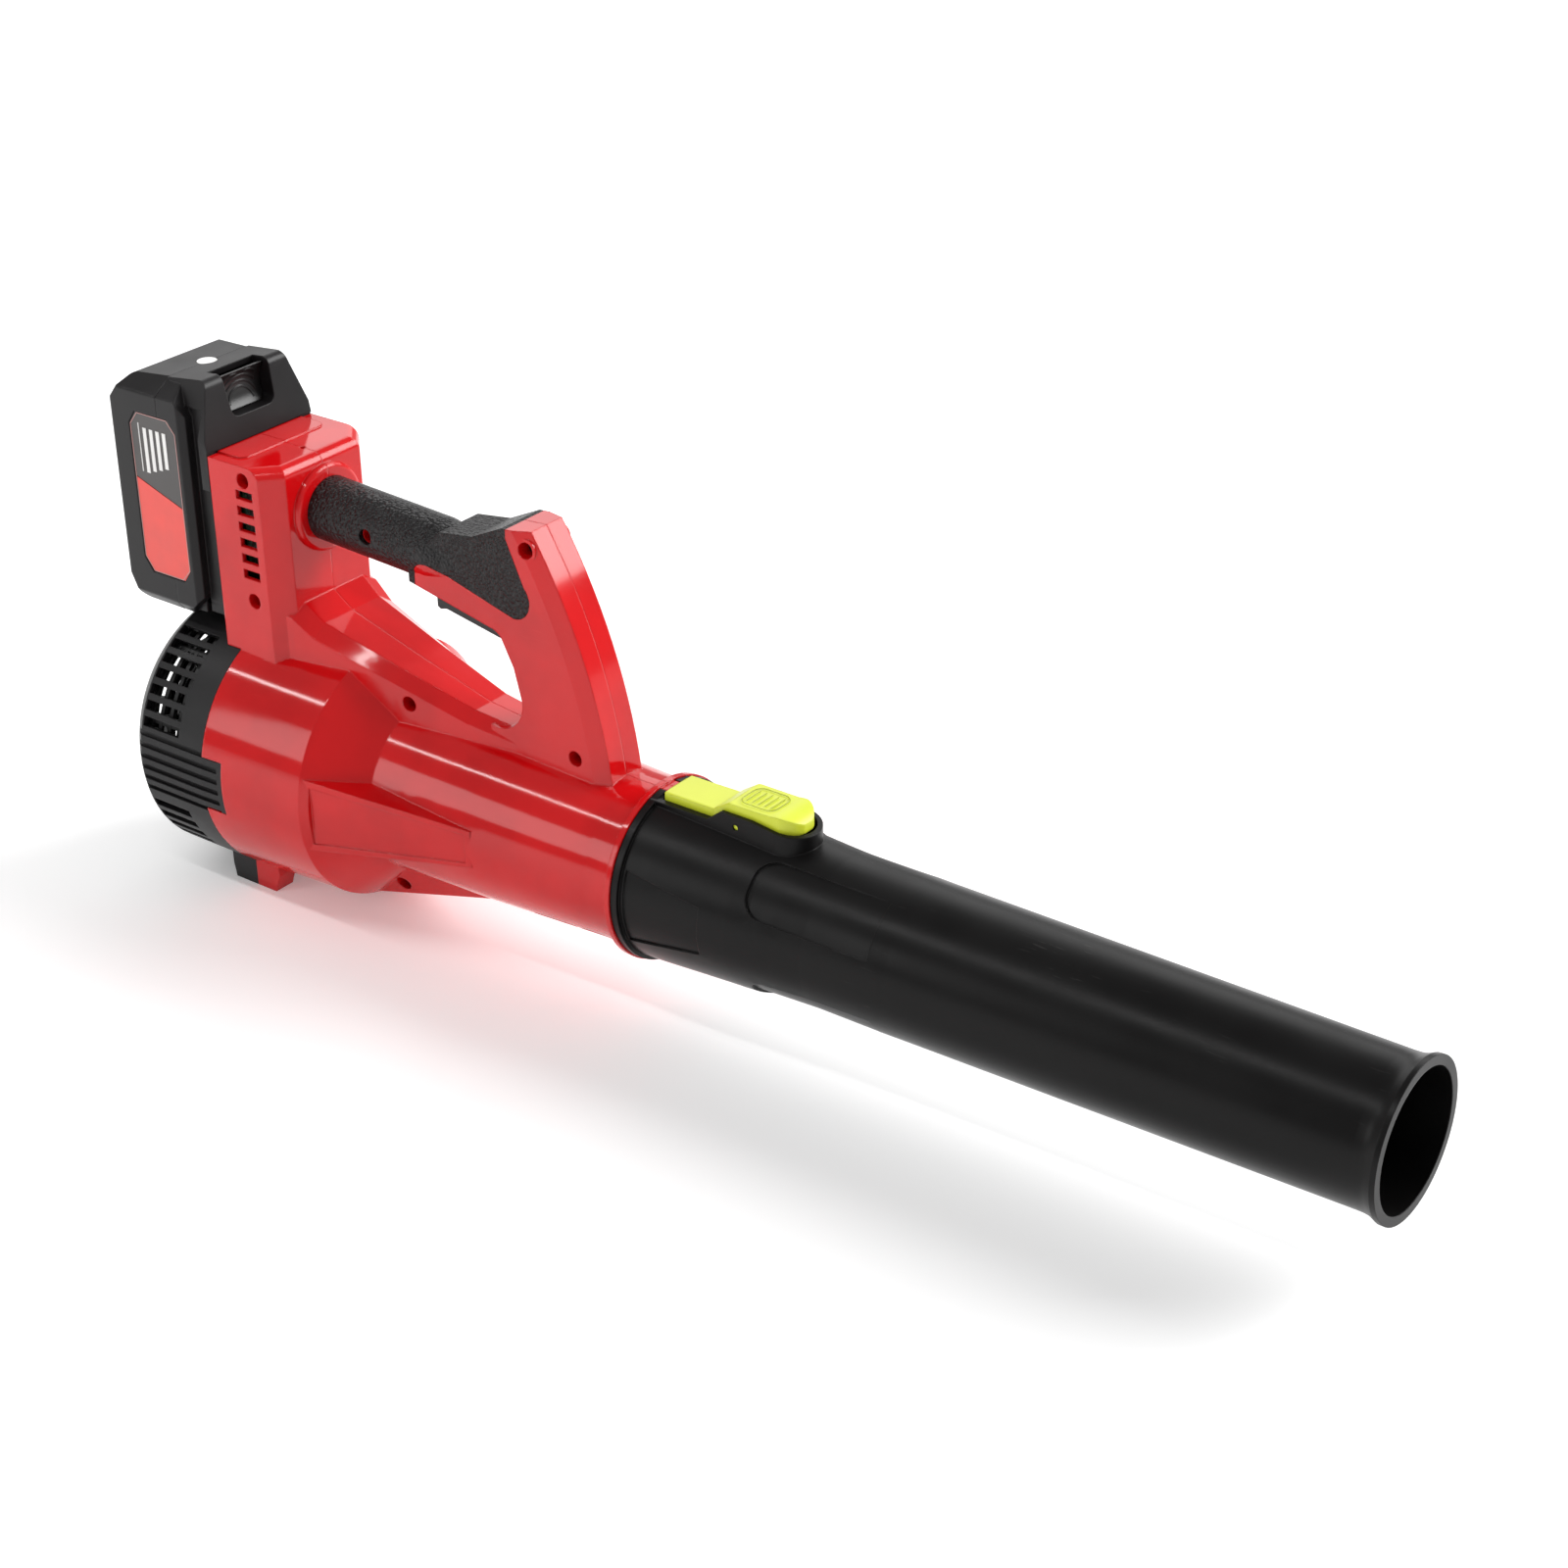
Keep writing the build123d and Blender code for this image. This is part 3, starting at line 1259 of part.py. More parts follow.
def pack_screw_post(y, x0, x1):
    """A boss on the case's floor."""
    return span(x0, x1, y - 4.6, y + 4.6, PACK_BOTTOM_Z + 1, PACK_SCREW_Z + 4.4)


def pack_screw_hole(y):
    head = rod_x(3.2, PACK_SCREW_SEAT_X, BLOCK_REAR_X, y, PACK_SCREW_Z)
    return head + rod_x(1.6, PACK_SEAM_X - 9, PACK_SCREW_SEAT_X, y, PACK_SCREW_Z)


def pack_screw(y):
    head = rod_x(2.8, PACK_SCREW_SEAT_X, PACK_SCREW_SEAT_X + 2, y, PACK_SCREW_Z)
    shank = rod_x(1.55, PACK_SEAM_X - 8, PACK_SCREW_SEAT_X, y, PACK_SCREW_Z)
    top = PACK_SCREW_SEAT_X + 2
    return head + shank - span(top - 1, top + 1, y - 1.8, y + 1.8, PACK_SCREW_Z - 0.4, PACK_SCREW_Z + 0.4)


def cell_places():
    low = CELL_LOW_Z
    return [(x, low + CELL_PITCH * row) for x in CELL_X for row in range(CELL_ROWS)]


def cells():
    """Ten round cells lying across the pack."""
    half = CELL_LENGTH / 2
    solids = []
    for x, z in cell_places():
        can = rod_y(CELL_R, -half, half, x, z)
        solids.append(can - rod_y(CELL_R - 1.2, half - 0.4, half, x, z) + rod_y(3.0, half - 0.5, half, x, z))
    return solids


def cell_holders():
    """The two combs that space the cells."""
    places = cell_places()
    holders = []
    for y in (-27.0, 24.0):
        low = places[0][1] - CELL_R - 0.6
        high = places[CELL_ROWS - 1][1] + CELL_R + 0.6
        holder = span(-322.6, -281.9, y, y + 3, low, high) & pack_body(PACK_WALL + 0.2)
        for x, z in places:
            holder = holder - rod_y(CELL_R + 0.12, y - 1, y + 4, x, z)
        holders.append(holder)
    return holders


def nickel_strips():
    """Flat links that join the cells' ends."""
    places = cell_places()
    strips = []
    for row in range(CELL_ROWS):
        z = places[row][1]
        x0, x1 = CELL_X[0] - 4, CELL_X[1] + 4
        strips.append(span(x0, x1, -CELL_LENGTH / 2 - 0.3, -CELL_LENGTH / 2, z - 3.5, z + 3.5))
    for x in CELL_X:
        low = places[0][1] - 3.5
        high = places[CELL_ROWS - 1][1] + 3.5
        strips.append(span(x - 3.5, x + 3.5, CELL_LENGTH / 2, CELL_LENGTH / 2 + 0.3, low, high))
    return strips


def battery_board():
    """The pack's own board with its row of parts."""
    x = PACK_FRONT_X - PACK_WALL - 4.4
    board = span(x, x + 1.6, -24, 24, 92, 158)
    parts_on = [span(x + 1.6, x + 3.2, -20 + 11 * i, -14 + 11 * i, 136, 144) for i in range(4)]
    return [board] + parts_on


def battery_contacts():
    """Sprung clips, one for each blade, from the board into the channel's top."""
    x0 = PACK_FRONT_X - PACK_WALL - 4.4 + 1.6
    clips = []
    for y in TERMINAL_Y:
        for low in (y - 1.25, y + 0.65):
            clips.append(span(BLOCK_REAR_X - 6.5, BLOCK_REAR_X - 1.5, low, low + 0.6, 116, 127))
        clips.append(span(x0, BLOCK_REAR_X - 1.5, y - 1.25, y + 1.25, 127, 129.4))
    return clips


def contact_slots():
    """Slots in the neck and the pack's front wall for the contacts' shanks."""
    return [span(PACK_FRONT_X - 5, BLOCK_REAR_X - 1.0, y - 1.5, y + 1.5, 126.5, 129.8) for y in TERMINAL_Y]


def button_face(grow):
    """Side view of the button: a plate with a hollow front, thicker at its foot."""
    return joined(
        Line((BUTTON_BACK_X, 196.4), (-265.4 + grow, 196.6)),
        ThreePointArc((-265.4 + grow, 196.6), (-268.2 + grow, 187.5), (-264.8 + grow, 177.4)),
        Polyline((-264.8 + grow, 177.4), (-270.5, 177.4), (-270.5, 189)),
        Polyline((-270.5, 189), (BUTTON_BACK_X, 193.8), (BUTTON_BACK_X, 196.4)),
    )


def release_button():
    """The scooped button with its finger ridges."""
    plate = side_plate(button_face(0), -20, 20) & button_opening(GAP, -280, -250, 200)
    ridges = side_plate(button_face(0.5), -20, 20) & span(-280, -250, -10.5, 10.5, 180, 195.4)
    for i in range(4):
        radius = 8.5 + 3.0 * i
        bow = Pos(-267, 0, 178.5) * Rot(0, 90, 0) * (Cylinder(radius + 0.5, 12) - Cylinder(radius - 0.5, 13))
        plate = plate + (ridges & bow)
    return plate - rod_x(3.0, -272, -269.4, 0, BUTTON_SPRING_Z)


def side_label(y):
    """The side label: dark field, orange-red lower field and their plain bars, as separate thin plates."""
    rear = -308.9
    front = -276.6
    dark = outline(
        (rear, 170.6), (-304.2, 177.4), (-281.3, 177.4), (front, 171), (front, 131.5), (rear, 142.5)
    )
    warm = outline((rear, 141.9), (front, 130.9), (front, 97.4), (-281.2, 91.1), (-303.7, 91.1), (rear, 98.4))
    outer = PACK_HALF_WIDTH - 0.35
    plates = [side_plate(face, -outer, -outer + 0.25) for face in (dark, warm)]
    return plates if y < 0 else [mirrored(plate) for plate in plates]


def label_bars(y):
    """Plain raised bars where a rating would stand."""
    outer = PACK_HALF_WIDTH - 0.35
    bars = [span(-303.2, -302.6, -outer - 0.2, -outer, 146, 172)]
    for i in range(4):
        x = -300 + 4.6 * i
        bars.append(span(x, x + 2.4, -outer - 0.2, -outer, 146 + 1.6 * i, 170))
    return bars if y < 0 else [mirrored(bar) for bar in bars]


def build():
    body, grip = housing()
    right, left = halves(body)
    grip_right, grip_left = halves(grip)
    add("housing_right", right)
    add("housing_left", left)
    add("grip_right", grip_right)
    add("grip_left", grip_left)
    add("housing_screws", *[screw(x, z) for x, z, half in HOUSING_SCREWS.values()])
    add("rear_grille", rear_grille())
    add("foot_screws", foot_screw(FOOT_SCREW_Y), foot_screw(-FOOT_SCREW_Y))
    add("intake_basket", intake_basket())
    add("fan_shroud", fan_shroud())
    add("impeller", impeller())
    add("impeller_nut", rod_x(5.0, SHAFT_REAR_X - 1.5, HUB_REAR_X - 4.02) - rod_x(SHAFT_R, -300, -200))
    add("motor_shaft", rod_x(SHAFT_R, SHAFT_REAR_X, SHAFT_FRONT_X))
    add("motor_can", motor_can())
    add("rear_bearing", bearing(CAN_REAR_X))
    add("front_bearing", bearing(CAN_FRONT_X - BEARING_WIDTH))
    add("stator_core", stator_core())
    add("stator_windings", *stator_windings())
    add("rotor_magnets", rotor_magnets())
    add("motor_screws", *[motor_screw(y) for y in MOTOR_SCREW_Y])
    add("tail_cone", tail_cone())
    board, sink, caps, chips = control_board()
    add("control_board", board)
    add("heat_sink", sink)
    add("capacitors", *caps)
    add("board_chips", *chips)
    add("motor_leads", *motor_leads())
    add("switch_leads", *switch_leads())
    add("terminal_block", terminal_block())
    add("terminal_blades", *terminal_blades())
    add("switch_body", switch_body())
    add("switch_plunger", switch_plunger())
    add("trigger", trigger())
    reach = TRIGGER_HALF_WIDTH + 2.2
    add("trigger_pin", rod_y(TRIGGER_PIN_R, -reach, reach, TRIGGER_PIN_X, TRIGGER_PIN_Z))
    add("trigger_spring", Pos(-109, 0, 108.95) * spring(2.6, 0.7, 7, 17.2))
    add("nozzle_tube", nozzle_tube())
    add("seal_ring", turned((-26, 38.2), (-26, SOCKET_R - 0.1), (-23, SOCKET_R - 0.1), (-23, 38.2)))
    add("latch_lever", latch_lever())
    add("latch_pin", rod_y(LATCH_PIN_R - 0.02, -13.4, 13.4, LATCH_PIN_X, LATCH_PIN_Z))
    add("latch_spring", Pos(70, 0, 41.6) * spring(1.9, 0.6, 4, 4.25))
    rear, front = battery_cases()
    for slot in contact_slots():
        front = front - slot
    add("battery_case_rear", rear)
    add("battery_case_front", front)
    add("battery_screws", *[pack_screw(y) for y in PACK_SCREW_Y])
    add("battery_cells", *cells())
    add("cell_holders", *cell_holders())
    add("nickel_strips", *nickel_strips())
    add("battery_board", *battery_board())
    add("battery_contacts", *battery_contacts())
    add("release_button", release_button())
    coil = Rot(0, 90, 0) * spring(2.4, 0.6, 6, 10.4)
    add("button_spring", Pos(BUTTON_ROOM_REAR_X + 0.4, 0, BUTTON_SPRING_Z) * coil)
    add("label_right", *side_label(-1))
    add("label_left", *side_label(1))
    add("label_bars", *label_bars(-1), *label_bars(1))
    add("pack_sticker", rod_z(5.2, PACK_TOP_Z - 0.74, PACK_TOP_Z - 0.1, PACK_SEAM_X - 1, 0))


def motor_screw(y):
    head = rod_x(2.6, CUP_REAR_X - 1.8, CUP_REAR_X, y, 0)
    slot = span(CUP_REAR_X - 2, CUP_REAR_X - 0.9, y - 1.6, y + 1.6, -0.3, 0.3)
    return head + rod_x(1.25, CUP_REAR_X, CAN_REAR_X + 2.5, y, 0) - slot


def main():
    os.makedirs("parts", exist_ok=True)
    build()
    for name, shape in parts.items():
        export_step(shape, f"parts/{name}.step")
        box = shape.bounding_box()
        print(name, len(shape.solids()), round(shape.volume), box.min, box.max)


main()
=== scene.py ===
import logging
import math
from dataclasses import dataclass, field
from enum import Enum
from typing import Any, Sequence

import bmesh
import bpy
from mathutils import Matrix, Vector


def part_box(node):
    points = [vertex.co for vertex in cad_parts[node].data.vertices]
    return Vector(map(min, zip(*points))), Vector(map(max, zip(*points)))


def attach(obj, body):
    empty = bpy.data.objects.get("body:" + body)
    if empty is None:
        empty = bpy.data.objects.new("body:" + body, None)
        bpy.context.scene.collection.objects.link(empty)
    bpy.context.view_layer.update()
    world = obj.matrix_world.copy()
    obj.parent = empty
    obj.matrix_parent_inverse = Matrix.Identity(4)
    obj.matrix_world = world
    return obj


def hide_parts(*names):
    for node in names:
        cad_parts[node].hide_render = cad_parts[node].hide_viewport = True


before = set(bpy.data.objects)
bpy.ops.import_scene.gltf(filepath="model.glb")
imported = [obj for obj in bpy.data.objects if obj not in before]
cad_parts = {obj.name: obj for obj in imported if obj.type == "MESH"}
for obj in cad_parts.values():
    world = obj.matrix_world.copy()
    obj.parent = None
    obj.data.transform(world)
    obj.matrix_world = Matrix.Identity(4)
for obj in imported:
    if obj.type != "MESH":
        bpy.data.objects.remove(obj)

log = logging.getLogger("leaf_blower")
MM = 0.001
# Vertices closer than this are one vertex in a new piece.
MERGE_M = 1e-6
# Where the lever's front end stands on the blower's own scale, which starts at the collar's rim.
LEVER_FRONT_MM = 83.4
# Where the labels' lower edge stands on the blower's own scale.
LABEL_LOW_MM = 91.1
# The whole of a value's range, and the middle part that a noise pattern mostly keeps to.
WHOLE = (0.0, 1.0)
MIDDLE = (0.3, 0.7)
# A colour blend takes its two colours at these inputs and gives its result at this output.
BLEND_LOW, BLEND_HIGH, BLEND_RESULT = 6, 7, 2


# ---------------------------------------------------------------- small helpers


def linear(hex_colour: str) -> tuple[float, float, float, float]:
    """Turn an sRGB hex colour to linear RGBA.

    Args:
        hex_colour: Six hex digits after a hash.

    Returns:
        The colour as four linear numbers, alpha 1.
    """
    channels = [int(hex_colour[i:i + 2], 16) / 255 for i in (1, 3, 5)]
    red, green, blue = (c / 12.92 if c <= 0.04045 else ((c + 0.055) / 1.055) ** 2.4 for c in channels)
    return (red, green, blue, 1.0)


def add_node(
    tree: bpy.types.NodeTree,
    kind: str,
    settings: dict[str | int, Any] | None = None,
    links: dict[str | int, bpy.types.NodeSocket] | None = None,
) -> bpy.types.Node:
    """Add a shader node with its settings and its incoming links.

    Args:
        tree: The node tree it goes in.
        kind: The node's Blender type name, without its ShaderNode prefix.
        settings: Attribute names, input names or input numbers with their values.
        links: Input names or numbers with the sockets that feed them.

    Returns:
        The new node.
    """
    made = tree.nodes.new("ShaderNode" + kind)
    for name, value in (settings or {}).items():
        if isinstance(name, str) and hasattr(made, name):
            setattr(made, name, value)
        else:
            made.inputs[name].default_value = value
    for name, socket in (links or {}).items():
        tree.links.new(socket, made.inputs[name])
    return made


def reckon(
    tree: bpy.types.NodeTree,
    operation: str,
    first: bpy.types.NodeSocket,
    second: bpy.types.NodeSocket | float,
    third: bpy.types.NodeSocket | float | None = None,
) -> bpy.types.NodeSocket:
    """Work out one step of arithmetic.

    Args:
        tree: The material's node tree.
        operation: The step's Blender name.
        first: What it works on.
        second: The next value, as a number or a socket.
        third: The last value, if the step takes three.

    Returns:
        The result.
    """
    settings: dict[str | int, Any] = {"operation": operation}
    links: dict[str | int, bpy.types.NodeSocket] = {0: first}
    for number, value in ((1, second), (2, third)):
        if isinstance(value, bpy.types.NodeSocket):
            links[number] = value
        elif value is not None:
            settings[number] = value
    return add_node(tree, "Math", settings, links).outputs[0]


def per_metre(pattern_mm: float) -> float:
    """Give the texture scale that repeats a pattern about every so many millimetres.

    Args:
        pattern_mm: The pattern's size in millimetres.

    Returns:
        The texture node's scale.
    """
    return 1000.0 / pattern_mm


def object_place(tree: bpy.types.NodeTree) -> bpy.types.NodeSocket:
    """Give the place on the piece, in its own metres.

    Args:
        tree: The material's node tree.

    Returns:
        The Object coordinate socket.
    """
    return add_node(tree, "TexCoord").outputs["Object"]


def noise(
    tree: bpy.types.NodeTree, place: bpy.types.NodeSocket, pattern_mm: float, detail: float = 2.0
) -> bpy.types.NodeSocket:
    """Add a noise pattern.

    Args:
        tree: The material's node tree.
        place: The coordinates it is read at.
        pattern_mm: The pattern's size in millimetres.
        detail: How many finer octaves it has.

    Returns:
        The pattern, about 0 to 1.
    """
    settings = {"Scale": per_metre(pattern_mm), "Detail": detail}
    return add_node(tree, "TexNoise", settings, {"Vector": place}).outputs["Fac"]


def stretch(
    tree: bpy.types.NodeTree,
    value: bpy.types.NodeSocket,
    span: tuple[float, float],
    to_span: tuple[float, float],
) -> bpy.types.NodeSocket:
    """Map a value's span onto another, held at the ends.

    Args:
        tree: The material's node tree.
        value: The value to map.
        span: The part of the value's range that counts.
        to_span: What that part becomes.

    Returns:
        The mapped value.
    """
    settings = {"From Min": span[0], "From Max": span[1], "To Min": to_span[0], "To Max": to_span[1]}
    return add_node(tree, "MapRange", settings, {"Value": value}).outputs["Result"]


def blend(
    tree: bpy.types.NodeTree, share: bpy.types.NodeSocket, low: str | bpy.types.NodeSocket, high: str
) -> bpy.types.NodeSocket:
    """Blend two colours.

    Args:
        tree: The material's node tree.
        share: How much of the second colour shows, 0 to 1.
        low: The first colour, as hex or as a socket.
        high: The second colour, as hex.

    Returns:
        The blended colour.
    """
    settings: dict[str | int, Any] = {"data_type": "RGBA", BLEND_HIGH: linear(high)}
    links: dict[str | int, bpy.types.NodeSocket] = {0: share}
    if isinstance(low, str):
        settings[BLEND_LOW] = linear(low)
    else:
        links[BLEND_LOW] = low
    return add_node(tree, "Mix", settings, links).outputs[BLEND_RESULT]


def bump(
    tree: bpy.types.NodeTree,
    height: bpy.types.NodeSocket,
    strength: float,
    depth_mm: float,
    under: bpy.types.NodeSocket | None = None,
) -> bpy.types.NodeSocket:
    """Turn a height pattern to a normal.

    Args:
        tree: The material's node tree.
        height: The pattern.
        strength: How much of it shows.
        depth_mm: The pattern's depth in millimetres.
        under: The normal it goes on, if not the surface's own.

    Returns:
        The normal.
    """
    links = {"Height": height}
    if under is not None:
        links["Normal"] = under
    return add_node(tree, "Bump", {"Strength": strength, "Distance": depth_mm * MM}, links).outputs[0]


def faces_out(bm: bmesh.types.BMesh) -> None:
    """Merge doubles, then point every face outwards.

    Args:
        bm: The mesh to mend.
    """
    bmesh.ops.remove_doubles(bm, verts=bm.verts, dist=MERGE_M)
    bmesh.ops.recalc_face_normals(bm, faces=bm.faces)


def piece_from(bm: bmesh.types.BMesh, name: str, smooth_angle: float = 32.0) -> bpy.types.Object:
    """Make a mesh object from a bmesh, smooth except at its sharp edges.

    Args:
        bm: The finished mesh; it is freed.
        name: The piece's name.
        smooth_angle: Edges sharper than this many degrees stay crisp.

    Returns:
        The new object, at the origin.
    """
    limit = math.radians(smooth_angle)
    for face in bm.faces:
        face.smooth = True
    for edge in bm.edges:
        edge.smooth = len(edge.link_faces) == 2 and edge.calc_face_angle(math.pi) < limit
    mesh = bpy.data.meshes.new(name)
    bm.to_mesh(mesh)
    bm.free()
    made = bpy.data.objects.new(name, mesh)
    bpy.context.scene.collection.objects.link(made)
    return made


def dress(piece: bpy.types.Object, material: bpy.types.Material) -> bpy.types.Object:
    """Give a piece one material for all its faces.

    Args:
        piece: The mesh object.
        material: What it is made of.

    Returns:
        The same object.
    """
    if piece.data.materials:
        for i in range(len(piece.data.materials)):
            piece.data.materials[i] = material
    else:
        piece.data.materials.append(material)
    return piece


# ---------------------------------------------------------------- finishes


@dataclass(frozen=True)
class Finish:
    """A surface finish, whose material is built once and shared."""

    name: str

    def material(self) -> bpy.types.Material:
        """Build the material the first time, and hand back the same one after that.

        Returns:
            The finish's material.
        """
        found = bpy.data.materials.get(self.name)
        if found:
            return found
        made = bpy.data.materials.new(self.name)
        made.use_nodes = True
        tree = made.node_tree
        tree.nodes.clear()
        shader = self.shader(tree, object_place(tree))
        add_node(tree, "OutputMaterial", None, {"Surface": shader.outputs[0]})
        return made

    def shader(self, tree: bpy.types.NodeTree, place: bpy.types.NodeSocket) -> bpy.types.Node:
        """Add the finish's own nodes; each kind of finish says how.

        Args:
            tree: The material's node tree.
            place: The place on the piece.

        Returns:
            The node that gives the surface.
        """
        raise NotImplementedError


class Grain(Enum):
    """How a mould's surface was finished."""

    POLISHED = "polished"
    SPARKED = "sparked"
    LEATHER = "leather"


@dataclass(frozen=True)
class MouldedPlastic(Finish):
    """Injection-moulded plastic or rubber.

    The eye reads it by its broad soft highlights, the small ripple of the moulding, a grain where the
    mould was sparked or etched, edges that have gone a little pale, and fine rubbing marks.
    """

    colour: str
    deep: str
    worn: str
    roughness: float
    grain: Grain
    grain_mm: float = 0.6
    grain_depth_mm: float = 0.05
    edge_mm: float = 0.8
    scuffs: float = 0.25
    shine: float = 0.5
    drift_mm: float = 45
    drift_span: tuple[float, float] = (0.35, 0.6)
    rubbed_roughness: float = 0.22
    wear_patch_mm: float = 9
    scuff_mm: float = 1.6
    scuff_patch_mm: float = 60
    ripple_mm: float = 22
    ripple_depth_mm: float = 0.25
    ripple_strength: float = 0.25
    grain_strength: float = 0.9

    def shader(self, tree: bpy.types.NodeTree, place: bpy.types.NodeSocket) -> bpy.types.Node:
        """Add the plastic's colour, its wear, its roughness and its relief.

        Args:
            tree: The material's node tree.
            place: The place on the piece.

        Returns:
            The node that gives the surface.
        """
        rounded = add_node(tree, "Bevel", {"samples": 4, "Radius": self.edge_mm * MM}).outputs["Normal"]
        rubbed = self._scuffs(tree, place)
        drift = noise(tree, place, self.drift_mm, 3.0)
        body = blend(tree, stretch(tree, drift, self.drift_span, WHOLE), self.deep, self.colour)
        wear = self._edge_wear(tree, place, rounded)
        faded = reckon(tree, "MAXIMUM", wear, rubbed)
        smooth = stretch(tree, drift, MIDDLE, (self.roughness * 0.88, self.roughness * 1.14))
        rough = reckon(tree, "MULTIPLY_ADD", rubbed, self.rubbed_roughness, smooth)
        return add_node(
            tree,
            "BsdfPrincipled",
            {"IOR": 1.5, "Specular IOR Level": self.shine},
            {
                "Base Color": blend(tree, faded, body, self.worn),
                "Roughness": rough,
                "Normal": self._relief(tree, place, rounded),
            },
        )

    def _edge_wear(
        self, tree: bpy.types.NodeTree, place: bpy.types.NodeSocket, rounded: bpy.types.NodeSocket
    ) -> bpy.types.NodeSocket:
        """Mask that is 1 on rubbed outer edges, broken up along their length.

        Args:
            tree: The material's node tree.
            place: The place on the piece.
            rounded: The normal with softened edges.

        Returns:
            The mask.
        """
        flat = add_node(tree, "NewGeometry").outputs["Normal"]
        compare = add_node(tree, "VectorMath", {"operation": "DOT_PRODUCT"}, {0: rounded, 1: flat})
        edge = stretch(tree, compare.outputs["Value"], (0.99, 0.8), WHOLE)
        broken = stretch(tree, noise(tree, place, self.wear_patch_mm, 4.0), (0.45, 0.75), (0.05, 0.4))
        return reckon(tree, "MULTIPLY", edge, broken)

    def _scuffs(self, tree: bpy.types.NodeTree, place: bpy.types.NodeSocket) -> bpy.types.NodeSocket:
        """Mask of fine rubbing marks, long ones along the tool within a few worn patches.

        Args:
            tree: The material's node tree.
            place: The place on the piece.

        Returns:
            The mask.
        """
        turned = add_node(
            tree, "Mapping", {"Rotation": (0.35, 0.5, 0.2), "Scale": (0.12, 1.0, 1.0)}, {"Vector": place}
        ).outputs[0]
        fine = stretch(tree, noise(tree, turned, self.scuff_mm, 5.0), (0.62, 0.74), WHOLE)
        spots = stretch(tree, noise(tree, place, self.scuff_patch_mm, 1.0), (0.52, 0.68), (0.0, self.scuffs))
        return reckon(tree, "MULTIPLY", fine, spots)

    def _relief(
        self, tree: bpy.types.NodeTree, place: bpy.types.NodeSocket, rounded: bpy.types.NodeSocket
    ) -> bpy.types.NodeSocket:
        """Normal with softened edges, the moulding's slow ripple, and the grain on top.

        Args:
            tree: The material's node tree.
            place: The place on the piece.
            rounded: The normal with softened edges.

        Returns:
            The normal.
        """
        ripple = noise(tree, place, self.ripple_mm, 1.0)
        slow = bump(tree, ripple, self.ripple_strength, self.ripple_depth_mm, rounded)
        if self.grain is Grain.POLISHED:
            return slow
        if self.grain is Grain.LEATHER:
            settings = {"feature": "SMOOTH_F1", "Scale": per_metre(self.grain_mm), "Smoothness": 0.6}
            cells = add_node(tree, "TexVoronoi", settings, {"Vector": place}).outputs["Distance"]
            height = stretch(tree, cells, (0.15, 0.75), (1.0, 0.0))
        else:
            height = noise(tree, place, self.grain_mm)
        return bump(tree, height, self.grain_strength, self.grain_depth_mm, slow)


@dataclass(frozen=True)
class WorkedMetal(Finish):
    """Bare or plated metal, with lines left by turning, rolling or drawing.

    The eye reads it by sharp reflections that its lines draw out sideways, and duller patches.
    """

    colour: str
    dull: str
    roughness: float
    line_mm: float = 0.5
    stretched: tuple[float, float, float] = (1.0, 0.05, 0.05)
    patch_mm: float = 7
    line_depth_mm: float = 0.03

    def shader(self, tree: bpy.types.NodeTree, place: bpy.types.NodeSocket) -> bpy.types.Node:
        """Add the metal's colour, its duller patches and its lines.

        Args:
            tree: The material's node tree.
            place: The place on the piece.

        Returns:
            The node that gives the surface.
        """
        drawn = add_node(tree, "Mapping", {"Scale": self.stretched}, {"Vector": place}).outputs[0]
        lines = noise(tree, drawn, self.line_mm, 3.0)
        patches = noise(tree, place, self.patch_mm, 3.0)
        rough = stretch(tree, patches, MIDDLE, (self.roughness * 0.75, self.roughness * 1.3))
        return add_node(
            tree,
            "BsdfPrincipled",
            {"Metallic": 1.0},
            {
                "Base Color": blend(tree, patches, self.dull, self.colour),
                "Roughness": rough,
                "Normal": bump(tree, lines, 0.3, self.line_depth_mm),
            },
        )


@dataclass(frozen=True)
class PrintedFilm(Finish):
    """Printed polyester label film: a dark field over an orange-red one, parted by a slanting line.

    The eye reads it by its flat colours under a thin even gloss, with a faint orange-peel.
    """

    upper: str
    lower: str
    part_rear: tuple[float, float]
    part_front: tuple[float, float]
    ink_mm: float = 14
    peel_mm: float = 1.4
    peel_depth_mm: float = 0.02

    def shader(self, tree: bpy.types.NodeTree, place: bpy.types.NodeSocket) -> bpy.types.Node:
        """Add the two printed fields and the gloss over them.

        Args:
            tree: The material's node tree.
            place: The place on the piece.

        Returns:
            The node that gives the surface.
        """
        axes = add_node(tree, "SeparateXYZ", None, {0: place})
        (x0, z0), (x1, z1) = self.part_rear, self.part_front
        slope = (z1 - z0) / (x1 - x0)
        line = reckon(tree, "MULTIPLY_ADD", axes.outputs["X"], slope, z0 - slope * x0)
        above = reckon(tree, "GREATER_THAN", axes.outputs["Z"], line)
        ink = noise(tree, place, self.ink_mm, 3.0)
        tint = add_node(
            tree,
            "HueSaturation",
            None,
            {
                "Color": blend(tree, above, self.lower, self.upper),
                "Value": stretch(tree, ink, MIDDLE, (0.94, 1.05)),
            },
        )
        return add_node(
            tree,
            "BsdfPrincipled",
            {"IOR": 1.57},
            {
                "Base Color": tint.outputs[0],
                "Roughness": stretch(tree, ink, MIDDLE, (0.3, 0.42)),
                "Normal": bump(tree, noise(tree, place, self.peel_mm), 0.15, self.peel_depth_mm),
            },
        )


